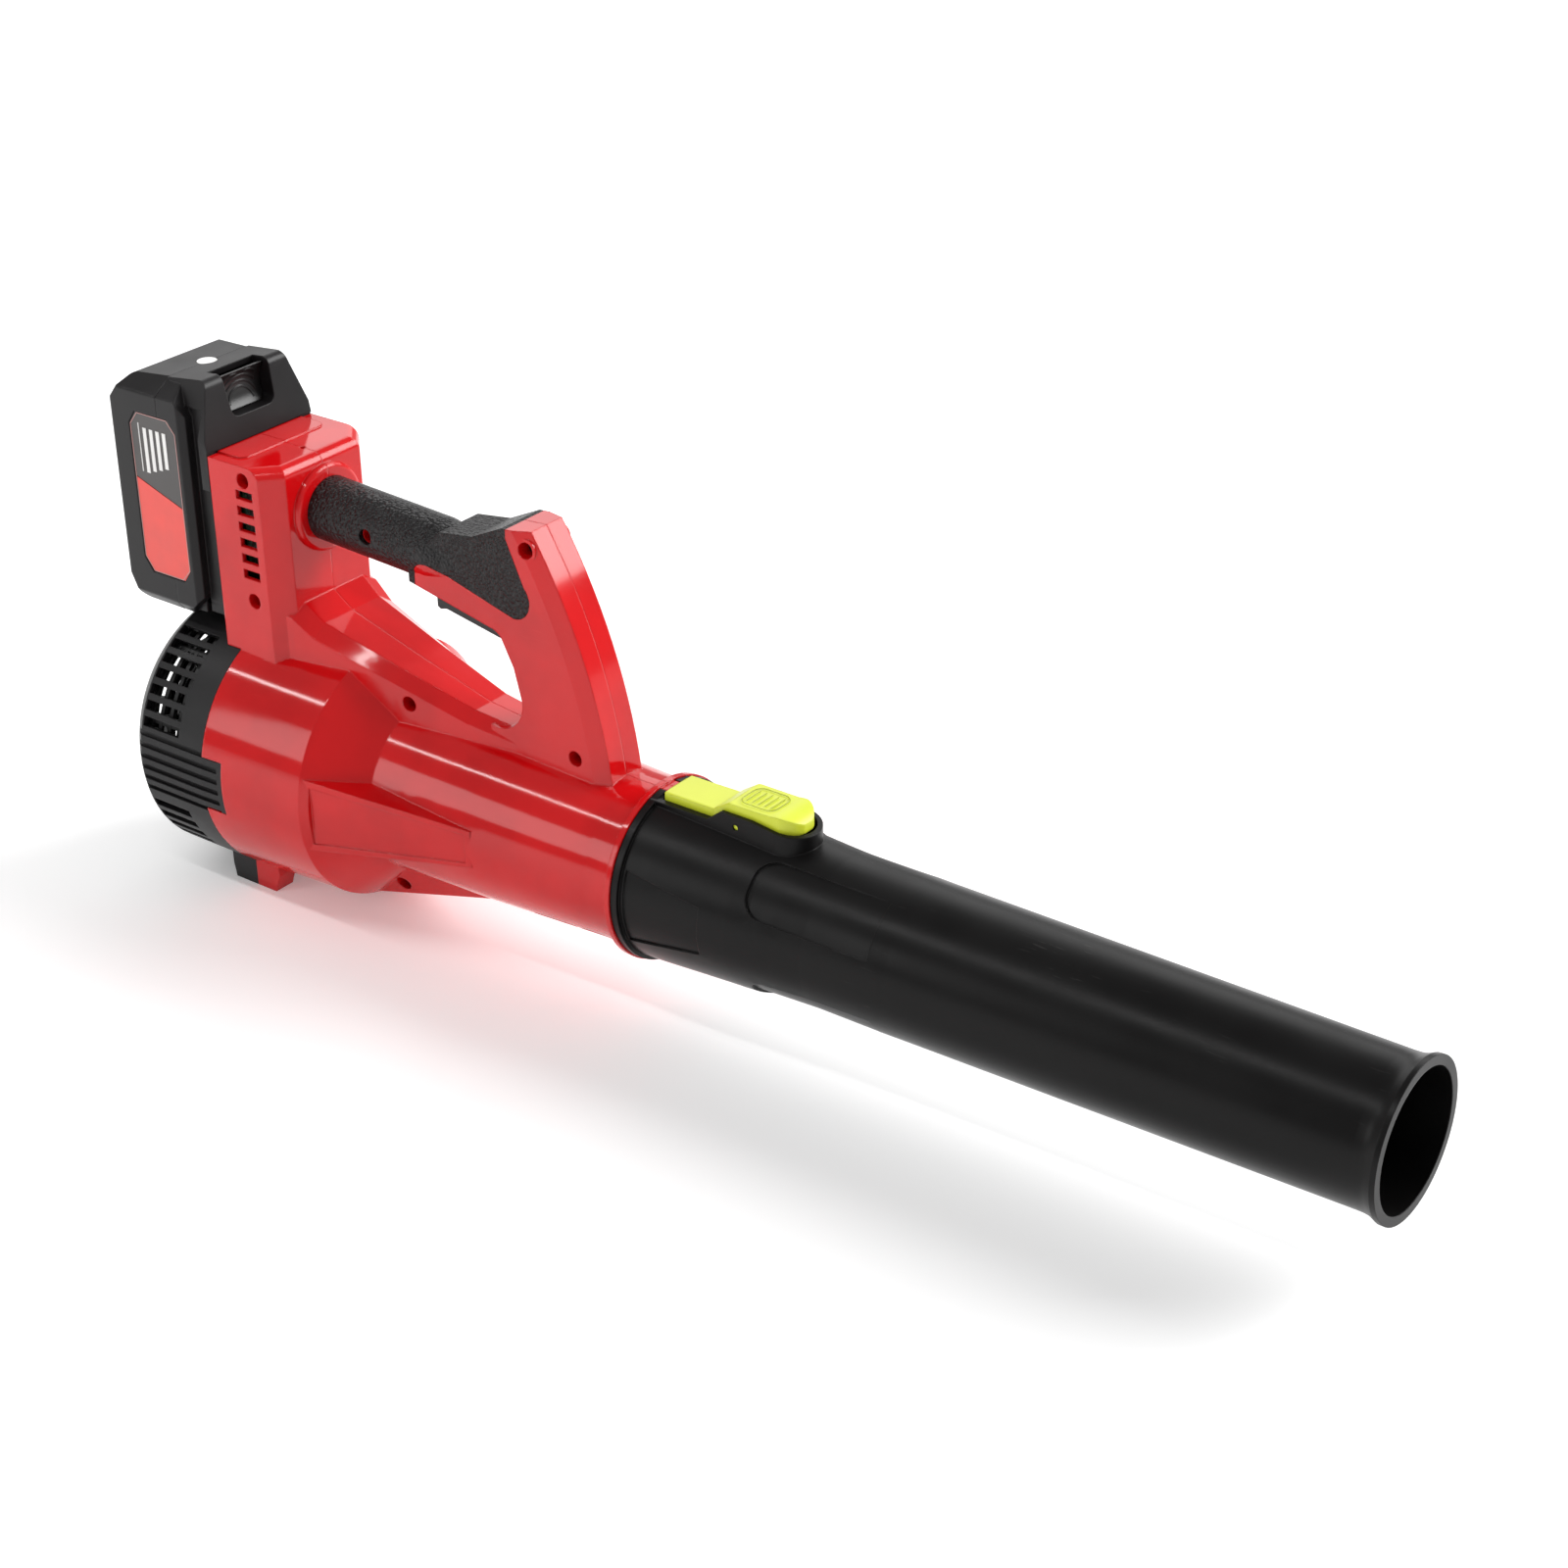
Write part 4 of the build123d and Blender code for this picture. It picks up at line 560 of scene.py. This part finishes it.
@dataclass(frozen=True)
class LayeredPart(Finish):
    """Something wound or stacked, such as a coil or a lamination pack: fine even bands across one axis."""

    colour: str
    gap: str
    roughness: float
    pitch_mm: float
    metallic: float
    axis: str = "X"
    band_depth_mm: float = 0.15

    def shader(self, tree: bpy.types.NodeTree, place: bpy.types.NodeSocket) -> bpy.types.Node:
        """Add the bands.

        Args:
            tree: The material's node tree.
            place: The place on the piece.

        Returns:
            The node that gives the surface.
        """
        # One full wave of the band pattern is 2 pi over twenty times its scale.
        scale = per_metre(self.pitch_mm) * math.pi / 10
        settings = {"bands_direction": self.axis, "Scale": scale, "Distortion": 0.3}
        bands = add_node(tree, "TexWave", settings, {"Vector": place}).outputs["Fac"]
        return add_node(
            tree,
            "BsdfPrincipled",
            {"Metallic": self.metallic},
            {
                "Base Color": blend(tree, bands, self.gap, self.colour),
                "Roughness": stretch(tree, bands, WHOLE, (self.roughness * 1.3, self.roughness * 0.85)),
                "Normal": bump(tree, bands, 0.6, self.band_depth_mm),
            },
        )


# Polished mould: ABS with a near-mirror skin that blurs only slightly, a saturated colour and clean edges.
RED_ABS = MouldedPlastic(
    "glossy_red_abs", "#CC0B10", "#BC070C", "#EE4B45", 0.09, Grain.POLISHED, scuffs=0.06, edge_mm=1.1,
    shine=0.42,
)
# Thermoplastic rubber over-moulded in an etched mould: a pebbled leather grain that breaks the highlight up.
GRIP_RUBBER = MouldedPlastic(
    "overmoulded_grip_rubber", "#161415", "#100E0F", "#343232", 0.34, Grain.LEATHER, grain_mm=1.5,
    grain_depth_mm=0.6, edge_mm=0.9, scuffs=0.1, shine=0.3,
)
# Glass-filled nylon from a sparked mould: charcoal, with a fine even grain and a broad weak highlight.
CAGE_NYLON = MouldedPlastic(
    "sparked_charcoal_nylon", "#1A191A", "#141314", "#3E3C3C", 0.42, Grain.SPARKED, grain_mm=0.5,
    grain_depth_mm=0.03, edge_mm=0.6, scuffs=0.2, shine=0.3,
)
# Polypropylene from a lightly blasted mould: satin black with long soft highlights and pale rubbing marks.
NOZZLE_PP = MouldedPlastic(
    "satin_black_polypropylene", "#0D0C0C", "#090808", "#454443", 0.33, Grain.SPARKED, grain_mm=0.8,
    grain_depth_mm=0.012, edge_mm=0.8, scuffs=0.5, shine=0.17,
)
# ABS from a satin mould in a bright lime, with soft edges and an even sheen.
LIME_ABS = MouldedPlastic(
    "satin_lime_abs", "#D6E036", "#CCD62D", "#E8EE86", 0.32, Grain.POLISHED, edge_mm=1.2, scuffs=0.1,
)
# Polycarbonate blend from a sparked mould, as battery cases are: charcoal, fine grain, paler at its edges.
BATTERY_PC = MouldedPlastic(
    "sparked_battery_polycarbonate", "#191718", "#131112", "#454243", 0.36, Grain.SPARKED, grain_mm=0.55,
    grain_depth_mm=0.03, edge_mm=1.0, scuffs=0.2, shine=0.26,
)
# Nylon for the trigger and the release button: satin, handled smooth.
TOUCH_NYLON = MouldedPlastic(
    "satin_touch_nylon", "#1B191A", "#141313", "#3E3C3C", 0.34, Grain.SPARKED, grain_mm=0.5,
    grain_depth_mm=0.02, edge_mm=0.8, scuffs=0.3, shine=0.4,
)
# Unpolished nylon that nobody handles: dull black, its highlights spread wide.
INNER_NYLON = MouldedPlastic(
    "inner_black_nylon", "#1D1C1D", "#181717", "#3C3B3B", 0.5, Grain.SPARKED, edge_mm=0.5, scuffs=0.1,
)
# Uncoloured nylon for the fan: a warm milky grey with a soft sheen.
FAN_NYLON = MouldedPlastic(
    "natural_fan_nylon", "#B9B6AC", "#A9A69C", "#D6D3CA", 0.42, Grain.SPARKED, edge_mm=0.6, scuffs=0.1,
)
# Glass-epoxy laminate under green lacquer: glossy, with the weave faintly showing.
BOARD_LAMINATE = MouldedPlastic(
    "green_board_laminate", "#1C5A33", "#154A29", "#7F9A63", 0.3, Grain.SPARKED, grain_mm=1.2,
    grain_depth_mm=0.05, edge_mm=0.2, scuffs=0.3,
)
# Moulding epoxy of chip packages and the switch: flat charcoal with hardly a highlight.
CHIP_EPOXY = MouldedPlastic(
    "moulded_chip_epoxy", "#1A1A1B", "#131314", "#3A3A3A", 0.55, Grain.SPARKED, edge_mm=0.2,
)
# PVC sleeve of the leads: soft bright red with a waxy shine.
LEAD_PVC = MouldedPlastic(
    "red_lead_pvc", "#B8221C", "#9E1913", "#D25A50", 0.35, Grain.POLISHED, edge_mm=0.2,
)
# Shrink sleeves of the cells and the capacitors: thin glossy film that takes a narrow bright line.
CELL_SLEEVE = MouldedPlastic(
    "blue_cell_sleeve", "#1F5FA8", "#174F90", "#6E9CCB", 0.28, Grain.POLISHED, edge_mm=0.4,
)
SLEEVE_DARK = MouldedPlastic(
    "dark_capacitor_sleeve", "#22222B", "#1A1A22", "#50505A", 0.3, Grain.POLISHED, edge_mm=0.4,
)
# Soft rubber of the sealing ring: matt black that hardly shines.
SEAL_RUBBER = MouldedPlastic(
    "soft_seal_rubber", "#1A1919", "#131212", "#333232", 0.6, Grain.SPARKED, edge_mm=0.3,
)
# White label film and the pale ink of its border line: flat, smooth and even.
WHITE_FILM = MouldedPlastic(
    "white_label_film", "#E9E8E6", "#DEDDDB", "#F4F3F1", 0.4, Grain.POLISHED, edge_mm=0.1, scuffs=0.1,
)
PALE_TRIM = MouldedPlastic(
    "pale_red_trim_ink", "#B98A86", "#A87A76", "#D0A8A4", 0.4, Grain.POLISHED, edge_mm=0.1,
)
# Black zinc plating on screws: dark, half-bright, dulled in patches.
SCREW_ZINC = WorkedMetal("black_zinc_screw_steel", "#3A3936", "#2A2927", 0.35)
# Ground steel of shafts, pins and bearings: bright, with very fine lines.
SHAFT_STEEL = WorkedMetal("ground_shaft_steel", "#C6C5C2", "#A9A8A5", 0.22, 0.3)
# Drawn wire of the springs: bright along each turn.
SPRING_WIRE = WorkedMetal("drawn_spring_wire", "#BEBBB4", "#8F8D87", 0.28, 0.3)
# Turned and extruded aluminium: pale, its lines round the can and along the heat sink's fins.
CAN_ALUMINIUM = WorkedMetal("turned_can_aluminium", "#C9CACC", "#B0B1B3", 0.3, 0.4)
SINK_ALUMINIUM = WorkedMetal("extruded_sink_aluminium", "#D2D3D4", "#B8B9BA", 0.34, 0.5, (0.05, 0.05, 1.0))
# Brass and nickel of the electrical parts: warm yellow and warm grey, smooth from the roll.
CONTACT_BRASS = WorkedMetal("tinned_contact_brass", "#D8C08A", "#B59C62", 0.26, 0.4)
NICKEL_STRIP = WorkedMetal("rolled_nickel_strip", "#C9C3B6", "#A8A296", 0.3, 0.5)
# Sintered magnet: dark grey and grainy, with no lines.
MAGNET_SINTER = WorkedMetal("sintered_magnet", "#4B4B4E", "#38383A", 0.5, 0.8, (1.0, 1.0, 1.0))
# Enamelled copper wire laid turn by turn: orange-brown bands with dark gaps.
COPPER_COIL = LayeredPart("enamelled_copper_coil", "#B4632F", "#5A2A12", 0.3, 0.7, 0.9)
# Steel sheets stacked into a core: grey bands, each sheet's edge catching the light.
LAMINATION = LayeredPart("stacked_lamination_steel", "#6E6E70", "#3B3B3D", 0.4, 0.5, 1.0)


# ---------------------------------------------------------------- sub-assemblies


@dataclass
class Softened:
    """A merged copy of a CAD node with its long outer edges really rounded."""

    node: str
    body: str
    slot: str
    radius_mm: float = 0.6
    segments: int = 2
    least_angle: float = 32.0
    merge_m: float = 2e-6
    flat_angle: float = 0.4
    least_lengths: float = 2.5
    least_room: float = 1.6

    def build(self) -> bpy.types.Object:
        """Round what can be rounded cleanly and stand the copy in for its node.

        Returns:
            The copy, riding on its body.
        """
        radius = self.radius_mm * MM
        bm = bmesh.new()
        bm.from_mesh(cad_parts[self.node].data)
        bmesh.ops.remove_doubles(bm, verts=bm.verts, dist=self.merge_m)
        flat = math.radians(self.flat_angle)
        bmesh.ops.dissolve_limit(bm, angle_limit=flat, verts=bm.verts, edges=bm.edges)
        chosen = [edge for edge in bm.edges if self._can_round(edge, radius)]
        if chosen:
            bmesh.ops.bevel(
                bm,
                geom=chosen,
                offset=radius,
                offset_type="OFFSET",
                affect="EDGES",
                segments=self.segments,
                profile=0.5,
                material=-1,
                clamp_overlap=True,
            )
        made = dress(piece_from(bm, self.node + "_soft"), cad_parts[self.node].data.materials[0])
        evened = made.modifiers.new("evened", "WEIGHTED_NORMAL")
        evened.keep_sharp = True
        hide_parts(self.node)
        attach(made, self.body)
        log.info("%s: %d of its edges rounded", made.name, len(chosen))
        return made

    def _can_round(self, edge: bmesh.types.BMEdge, radius: float) -> bool:
        """Say whether an edge is sharp, long enough, and has room at both ends.

        Args:
            edge: The edge.
            radius: The rounding's radius in metres.

        Returns:
            True if it can be rounded cleanly.
        """
        if len(edge.link_faces) != 2 or edge.calc_length() < self.least_lengths * radius:
            return False
        if edge.calc_face_angle(0.0) < math.radians(self.least_angle):
            return False
        others = [other for end in edge.verts for other in end.link_edges if other is not edge]
        return all(other.calc_length() > self.least_room * radius for other in others)


@dataclass
class Outfit:
    """Finishes for the CAD nodes that keep their own meshes."""

    finishes: dict[str, Finish] = field(
        default_factory=lambda: {
            "housing_right": RED_ABS,
            "housing_left": RED_ABS,
            "grip_right": GRIP_RUBBER,
            "grip_left": GRIP_RUBBER,
            "housing_screws": SCREW_ZINC,
            "rear_grille": CAGE_NYLON,
            "foot_screws": SCREW_ZINC,
            "intake_basket": INNER_NYLON,
            "fan_shroud": INNER_NYLON,
            "impeller": FAN_NYLON,
            "impeller_nut": SHAFT_STEEL,
            "motor_shaft": SHAFT_STEEL,
            "motor_can": CAN_ALUMINIUM,
            "rear_bearing": SHAFT_STEEL,
            "front_bearing": SHAFT_STEEL,
            "stator_core": LAMINATION,
            "stator_windings": COPPER_COIL,
            "rotor_magnets": MAGNET_SINTER,
            "motor_screws": SCREW_ZINC,
            "tail_cone": INNER_NYLON,
            "control_board": BOARD_LAMINATE,
            "heat_sink": SINK_ALUMINIUM,
            "capacitors": SLEEVE_DARK,
            "board_chips": CHIP_EPOXY,
            "motor_leads": LEAD_PVC,
            "switch_leads": LEAD_PVC,
            "terminal_block": INNER_NYLON,
            "terminal_blades": CONTACT_BRASS,
            "switch_body": CHIP_EPOXY,
            "switch_plunger": CHIP_EPOXY,
            "trigger": TOUCH_NYLON,
            "trigger_pin": SHAFT_STEEL,
            "trigger_spring": SPRING_WIRE,
            "nozzle_tube": NOZZLE_PP,
            "seal_ring": SEAL_RUBBER,
            "latch_lever": LIME_ABS,
            "latch_pin": LIME_ABS,
            "latch_spring": SPRING_WIRE,
            "battery_case_rear": BATTERY_PC,
            "battery_case_front": BATTERY_PC,
            "battery_screws": SCREW_ZINC,
            "battery_cells": CELL_SLEEVE,
            "cell_holders": INNER_NYLON,
            "nickel_strips": NICKEL_STRIP,
            "battery_board": BOARD_LAMINATE,
            "battery_contacts": CONTACT_BRASS,
            "release_button": TOUCH_NYLON,
            "button_spring": SPRING_WIRE,
            "label_bars": WHITE_FILM,
            "pack_sticker": WHITE_FILM,
        }
    )

    def apply(self) -> None:
        """Dress each node, and report it."""
        for name, finish in self.finishes.items():
            dress(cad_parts[name], finish.material())
            log.info("%s: %s", name, finish.name)


@dataclass
class PackLabels:
    """The battery's two side labels: the printed fields and a thin pale border line round them."""

    line_mm: float = 0.5
    proud_mm: float = 0.12
    margin_mm: float = 0.9
    corner_mm: float = 5.6
    rear_low_mm: float = 7.3
    front_low_mm: float = 6.3
    front_high_mm: float = 6.4
    rear_high_mm: float = 6.8
    part_rear_mm: float = 142.2
    part_front_mm: float = 131.2

    def build(self) -> None:
        """Dress the label plates and add their border lines."""
        low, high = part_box("label_right")
        film = PrintedFilm(
            "printed_label_film",
            "#3B3736",
            "#E2453B",
            (low.x, low.z + (self.part_rear_mm - LABEL_LOW_MM) * MM),
            (high.x, low.z + (self.part_front_mm - LABEL_LOW_MM) * MM),
        )
        for name in ("label_right", "label_left"):
            dress(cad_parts[name], film.material())
            log.info("%s: %s", name, film.name)
        for side in (-1, 1):
            self._border(side)

    def _border(self, side: int) -> None:
        """Make one label's border line.

        Args:
            side: -1 for the tool's right, 1 for its left.
        """
        low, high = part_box("label_right" if side < 0 else "label_left")
        y = low.y if side < 0 else high.y
        corner = self.corner_mm * MM
        rim = (
            (low.x, low.z + self.rear_low_mm * MM),
            (low.x + corner, low.z),
            (high.x - corner, low.z),
            (high.x, low.z + self.front_low_mm * MM),
            (high.x, high.z - self.front_high_mm * MM),
            (high.x - corner, high.z),
            (low.x + corner, high.z),
            (low.x, high.z - self.rear_high_mm * MM),
        )
        bm = bmesh.new()
        plate = bm.faces.new([bm.verts.new((px, y, pz)) for px, pz in rim])
        bmesh.ops.inset_individual(bm, faces=[plate], thickness=self.margin_mm * MM, depth=0.0)
        outer = [face for face in bm.faces if face is not plate]
        bmesh.ops.delete(bm, geom=outer, context="FACES")
        bmesh.ops.inset_individual(bm, faces=[plate], thickness=self.line_mm * MM, depth=0.0)
        bmesh.ops.delete(bm, geom=[plate], context="FACES_ONLY")
        raised = bmesh.ops.extrude_face_region(bm, geom=bm.faces[:])
        lifted = [item for item in raised["geom"] if isinstance(item, bmesh.types.BMVert)]
        bmesh.ops.translate(bm, verts=lifted, vec=(0, side * self.proud_mm * MM, 0))
        faces_out(bm)
        name = "label_border_right" if side < 0 else "label_border_left"
        made = dress(piece_from(bm, name), PALE_TRIM.material())
        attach(made, "battery")
        log.info("%s: border line", name)


@dataclass
class LeverInlay:
    """The thumb pad's raised round-cornered border and the low ribs inside it."""

    margin_mm: float = 3.2
    corner_mm: float = 5.0
    border_mm: float = 0.55
    proud_mm: float = 0.22
    ribs: int = 5
    rear_mm: float = 48.5
    front_mm: float = 69.0
    half_width_mm: float = 8.6
    sunk_mm: float = 0.05
    border_slope_mm: float = 0.12
    rib_foot_mm: float = 0.45
    rib_top_mm: float = 0.2
    corner_steps: int = 6

    def build(self) -> bpy.types.Object:
        """Make the border and the ribs as one piece on the lever.

        Returns:
            The inlay, riding on the lever.
        """
        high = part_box("latch_lever")[1]
        shift = high.x - LEVER_FRONT_MM * MM
        bm = bmesh.new()
        self._border(bm, shift, high.z)
        self._ribs(bm, shift, high.z)
        faces_out(bm)
        made = dress(piece_from(bm, "lever_pad_inlay"), LIME_ABS.material())
        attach(made, "lever")
        log.info("%s: border and %d ribs", made.name, self.ribs)
        return made

    def _ring(self, inset: float) -> list[tuple[float, float]]:
        """Round-cornered outline of the pad, in millimetres.

        Args:
            inset: How far inside the border's outer edge it runs.

        Returns:
            Points (x, y) in order.
        """
        x0, x1 = self.rear_mm + inset, self.front_mm - inset
        half = self.half_width_mm - inset
        radius = self.corner_mm - inset
        centres = (
            (x1 - radius, half - radius),
            (x0 + radius, half - radius),
            (x0 + radius, radius - half),
            (x1 - radius, radius - half),
        )
        points = []
        for quarter, (cx, cy) in enumerate(centres):
            for step in range(self.corner_steps + 1):
                angle = math.radians(90 * quarter + 90 / self.corner_steps * step)
                points.append((cx + radius * math.cos(angle), cy + radius * math.sin(angle)))
        return points

    def _border(self, bm: bmesh.types.BMesh, shift: float, top: float) -> None:
        """Add the border: a low ridge with a rounded back.

        Args:
            bm: The mesh it goes in.
            shift: Where the blower's own scale starts, in metres along X.
            top: The pad's height in metres.
        """
        shoulder = self.proud_mm * 0.7
        profile = (
            (0.0, -self.sunk_mm),
            (self.border_slope_mm, shoulder),
            (self.border_mm / 2, self.proud_mm),
            (self.border_mm - self.border_slope_mm, shoulder),
            (self.border_mm, -self.sunk_mm),
        )
        rings = []
        for inset, lift in profile:
            height = top + lift * MM
            rings.append([bm.verts.new((px * MM + shift, py * MM, height)) for px, py in self._ring(inset)])
        count = len(rings[0])
        for inner, outer in zip(rings, rings[1:] + rings[:1]):
            for i in range(count):
                after = (i + 1) % count
                bm.faces.new((inner[i], inner[after], outer[after], outer[i]))

    def _ribs(self, bm: bmesh.types.BMesh, shift: float, top: float) -> None:
        """Add the ribs across the pad.

        Args:
            bm: The mesh they go in.
            shift: Where the blower's own scale starts, in metres along X.
            top: The pad's height in metres.
        """
        pitch = (self.front_mm - self.rear_mm - 2 * self.margin_mm) / (self.ribs - 1)
        reach = self.half_width_mm - self.margin_mm
        rise = self.proud_mm * 0.8
        for i in range(self.ribs):
            x = self.rear_mm + self.margin_mm + pitch * i
            outline = (
                (x - self.rib_foot_mm, -self.sunk_mm),
                (x - self.rib_top_mm, rise),
                (x + self.rib_top_mm, rise),
                (x + self.rib_foot_mm, -self.sunk_mm),
            )
            ends = [
                [bm.verts.new((px * MM + shift, side * reach * MM, top + lift * MM)) for px, lift in outline]
                for side in (-1, 1)
            ]
            for k in range(4):
                after = (k + 1) % 4
                bm.faces.new((ends[0][k], ends[0][after], ends[1][after], ends[1][k]))
            bm.faces.new(ends[0])
            bm.faces.new(reversed(ends[1]))


@dataclass(frozen=True)
class Softbox:
    """One rectangular light: where it hangs, the point it faces, its size in metres and its watts."""

    name: str
    at: tuple[float, float, float]
    aim: tuple[float, float, float]
    size: tuple[float, float]
    watts: float

    def build(self) -> None:
        """Hang the light and aim it."""
        data = bpy.data.lights.new(self.name, "AREA")
        data.shape = "RECTANGLE"
        data.size, data.size_y = self.size
        data.energy = self.watts
        lamp = bpy.data.objects.new(self.name, data)
        bpy.context.scene.collection.objects.link(lamp)
        lamp.location = self.at
        lamp.rotation_euler = (Vector(self.aim) - Vector(self.at)).to_track_quat("-Z", "Y").to_euler()
        log.info("%s: %.1f W", self.name, self.watts)


@dataclass
class Studio:
    """Pale floor, soft lights and the camera."""

    camera_at: tuple[float, float, float] = (0.76827, -0.97020, 0.78810)
    azimuth: float = 37.045
    elevation: float = 28.084
    roll: float = -0.79
    lens: float = 69.084
    floor_half: float = 14.0
    # The floor's own glow: painted light that lightens the shadows cast on the floor and brightens the
    # tool's underside.
    painted_floor_glow: float = 0.2
    fibre_mm: float = 250
    fibre_roughness: tuple[float, float] = (0.8, 0.9)
    room_light: float = 0.42
    key_from: tuple[float, float, float] = (0.58, 0.6, 0.55)
    key_strength: float = 2.9
    key_spread: float = 38.0
    softboxes: tuple[Softbox, ...] = (
        Softbox("streak_strip", (-0.7, -0.55, 1.15), (-0.7, 0.0, 0.1), (1.9, 0.045), 5.2),
        Softbox("side_fill", (-1.1, -1.5, 0.75), (-0.2, 0.0, 0.05), (0.7, 0.7), 4.5),
        Softbox("back_panel", (-0.6, 2.2, 1.4), (0.0, 0.0, 0.1), (4.5, 1.2), 26),
    )

    def build(self) -> None:
        """Make the floor, the lights, the room and the camera."""
        self._floor()
        self._room()
        self._key()
        for box in self.softboxes:
            box.build()
        self._camera()
        # Plain display colours: a saturated shell stays saturated.
        bpy.context.scene.view_settings.view_transform = "Standard"

    def _floor(self) -> None:
        """Lay a pale matt floor that glows faintly, a painted light that lightens the shadows cast on it."""
        bm = bmesh.new()
        bmesh.ops.create_grid(bm, x_segments=2, y_segments=2, size=self.floor_half)
        made = piece_from(bm, "studio_floor")
        material = bpy.data.materials.new("matt_white_paper")
        material.use_nodes = True
        tree = material.node_tree
        shader = tree.nodes["Principled BSDF"]
        fibre = noise(tree, object_place(tree), self.fibre_mm)
        tree.links.new(stretch(tree, fibre, WHOLE, self.fibre_roughness), shader.inputs["Roughness"])
        shader.inputs["Base Color"].default_value = linear("#FAFAFA")
        shader.inputs["Specular IOR Level"].default_value = 0.2
        # Painted light: the floor glows evenly, which lightens the shadows cast on it.
        shader.inputs["Emission Color"].default_value = linear("#FFFFFF")
        shader.inputs["Emission Strength"].default_value = self.painted_floor_glow
        dress(made, material)
        log.info("%s: laid", made.name)

    def _room(self) -> None:
        """Fill the room with even white light."""
        world = bpy.data.worlds.new("studio_room")
        bpy.context.scene.world = world
        world.use_nodes = True
        back = world.node_tree.nodes["Background"]
        back.inputs["Color"].default_value = linear("#FFFFFF")
        back.inputs["Strength"].default_value = self.room_light

    def _key(self) -> None:
        """Shine an even broad light over everything; a wider spread is softer."""
        data = bpy.data.lights.new("broad_key", "SUN")
        data.energy = self.key_strength
        data.angle = math.radians(self.key_spread)
        lamp = bpy.data.objects.new("broad_key", data)
        bpy.context.scene.collection.objects.link(lamp)
        lamp.rotation_euler = (-Vector(self.key_from)).to_track_quat("-Z", "Y").to_euler()

    def _camera(self) -> None:
        """Stand the camera at its place and turn, given by its angles in degrees."""
        data = bpy.data.cameras.new("studio_camera")
        data.sensor_width = 36.0
        data.lens = self.lens
        data.clip_start, data.clip_end = 0.05, 50.0
        made = bpy.data.objects.new("studio_camera", data)
        bpy.context.scene.collection.objects.link(made)
        turn, lift, lean = (math.radians(v) for v in (self.azimuth, self.elevation, self.roll))
        back = Vector((math.sin(turn) * math.cos(lift), -math.cos(turn) * math.cos(lift), math.sin(lift)))
        level = Vector((math.cos(turn), math.sin(turn), 0.0))
        right = level * math.cos(lean) + back.cross(level) * math.sin(lean)
        up = back.cross(right)
        stand = Matrix((right, up, back)).transposed().to_4x4()
        stand.translation = Vector(self.camera_at)
        made.matrix_world = stand
        bpy.context.scene.camera = made


@dataclass
class LeafBlower:
    """The whole tool, in the order it is dressed."""

    softened: tuple[Softened, ...] = (
        Softened("trigger", "trigger", "trigger_black", 0.8),
        Softened("latch_lever", "lever", "lime_lever", 1.0, 3),
        Softened("release_button", "button", "trigger_black", 0.5),
        Softened("battery_case_rear", "battery", "battery_charcoal", 0.8),
        Softened("battery_case_front", "battery", "battery_charcoal", 0.6),
    )

    def build(self) -> None:
        """Dress the nodes, round the copies and add the printed borders."""
        Outfit().apply()
        for part in self.softened:
            part.build()
        PackLabels().build()
        LeverInlay().build()


def main() -> None:
    """Build the tool's looks and the studio."""
    logging.basicConfig(level=logging.INFO, format="%(name)s: %(message)s")
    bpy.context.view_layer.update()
    LeafBlower().build()
    Studio().build()
    bpy.context.view_layer.update()


if __name__ == "__main__":
    main()
